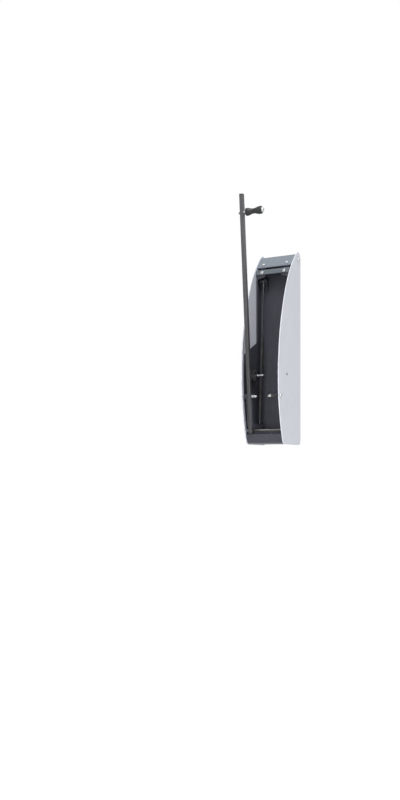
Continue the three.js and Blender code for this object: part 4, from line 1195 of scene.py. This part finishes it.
class RACK_OT_stage(bpy.types.Operator):
    """Sets the camera, the pale floor and the soft studio light"""

    bl_idname = "rack.stage"
    bl_label = "Stage"

    def execute(self, context):
        stage = context.scene.rack_stage
        self.camera(context.scene, stage)
        self.floor(stage)
        self.world(context.scene, stage)
        for word, settings in LAMPS.items():
            self.lamp(word + "_lamp", getattr(stage, word + "_power"), *settings)
        context.scene.view_settings.view_transform = "Standard"
        return {"FINISHED"}

    @staticmethod
    def camera(scene, stage):
        data = bpy.data.cameras.new("camera")
        data.sensor_width = 36.0
        data.lens = stage.camera_focus / PICTURE_HEIGHT * data.sensor_width
        data.shift_y = stage.horizon / PICTURE_HEIGHT
        scene.camera = new_object("camera", data)
        scene.camera.location = (stage.camera_across, -stage.camera_out, stage.camera_height)
        scene.camera.rotation_euler = (QUARTER, 0.0, stage.camera_turn)

    @staticmethod
    def floor(stage):
        """A wide pale floor whose own light brings it to white where nothing shades it."""
        height = FOOT - stage.floor_drop
        corners = np.array([(-1, -1), (1, -1), (1, 1), (-1, 1)]) * FLOOR_REACH
        mesh = bpy.data.meshes.new("floor")
        mesh.from_pydata(np.hstack([corners, np.full((4, 1), height)]).tolist(), [], [(0, 1, 2, 3)])
        material = bpy.data.materials.new("pale_floor")
        made = Nodes(material)
        matt = made.add("ShaderNodeBsdfDiffuse", {"Color": FLOOR_TONE})
        glow = made.add("ShaderNodeEmission", {"Color": WHITE, "Strength": made.by_ray(0.0, FLOOR_GLOW)})
        both = made.add("ShaderNodeAddShader", {0: matt.outputs[0], 1: glow.outputs[0]})
        made.add("ShaderNodeOutputMaterial", {"Surface": both.outputs[0]})
        mesh.materials.append(material)
        new_object("floor", mesh)

    @staticmethod
    def world(scene, stage):
        """An even sky: white where it is seen, and weaker as light."""
        scene.world = bpy.data.worlds.new("studio")
        made = Nodes(scene.world)
        strength = made.by_ray(stage.sky_light, 1.0)
        sky = made.add("ShaderNodeBackground", {"Color": WHITE, "Strength": strength})
        made.add("ShaderNodeOutputWorld", {"Surface": sky.outputs[0]})

    @staticmethod
    def lamp(name, energy, place, size, drop, spread):
        """A square soft lamp that faces a point, spreads its light over an angle and isn't seen itself."""
        data = bpy.data.lights.new(name, "AREA")
        data.shape = "SQUARE"
        data.size = size
        data.spread = spread
        data.energy = energy
        lamp = new_object(name, data)
        lamp.location = place
        away = np.array(place) - LAMP_AIM + [0, 0, drop]
        flat = math.hypot(away[0], away[1])
        lamp.rotation_euler = (math.atan2(flat, away[2]), 0.0, math.atan2(away[1], away[0]) + QUARTER)
        lamp.visible_camera = False


OPERATORS = (
    RACK_OT_stage,
    RACK_OT_finishes,
    RACK_OT_side_panels,
    RACK_OT_covers,
    RACK_OT_channel,
    RACK_OT_fasteners,
    RACK_OT_pivots,
    RACK_OT_arm,
    RACK_OT_hook,
    RACK_OT_strut,
)


class RACK_PT_sidebar(bpy.types.Panel):
    """Lists the rack's operators, sizes and colours"""

    bl_idname = "RACK_PT_sidebar"
    bl_label = "Rack"
    bl_space_type = "VIEW_3D"
    bl_region_type = "UI"
    bl_category = "Rack"

    def draw(self, context):
        for operator in OPERATORS:
            self.layout.operator(operator.bl_idname)
        for word in GROUPS:
            group = getattr(context.scene, word)
            box = self.layout.box()
            for name in group.__annotations__:
                box.prop(group, name)


GROUPS = {"rack_sizes": RackSizes, "rack_finishes": RackFinishes, "rack_stage": RackStage}


def register():
    for made in (*GROUPS.values(), *OPERATORS, RACK_PT_sidebar):
        bpy.utils.register_class(made)
    for name, group in GROUPS.items():
        setattr(bpy.types.Scene, name, PointerProperty(type=group))


def unregister():
    for name in GROUPS:
        delattr(bpy.types.Scene, name)
    for made in (RACK_PT_sidebar, *OPERATORS, *GROUPS.values()):
        bpy.utils.unregister_class(made)


def main():
    register()
    for operator in OPERATORS:
        group, name = operator.bl_idname.split(".")
        getattr(getattr(bpy.ops, group), name)()
    bpy.context.view_layer.update()


if __name__ == "__main__":
    main()
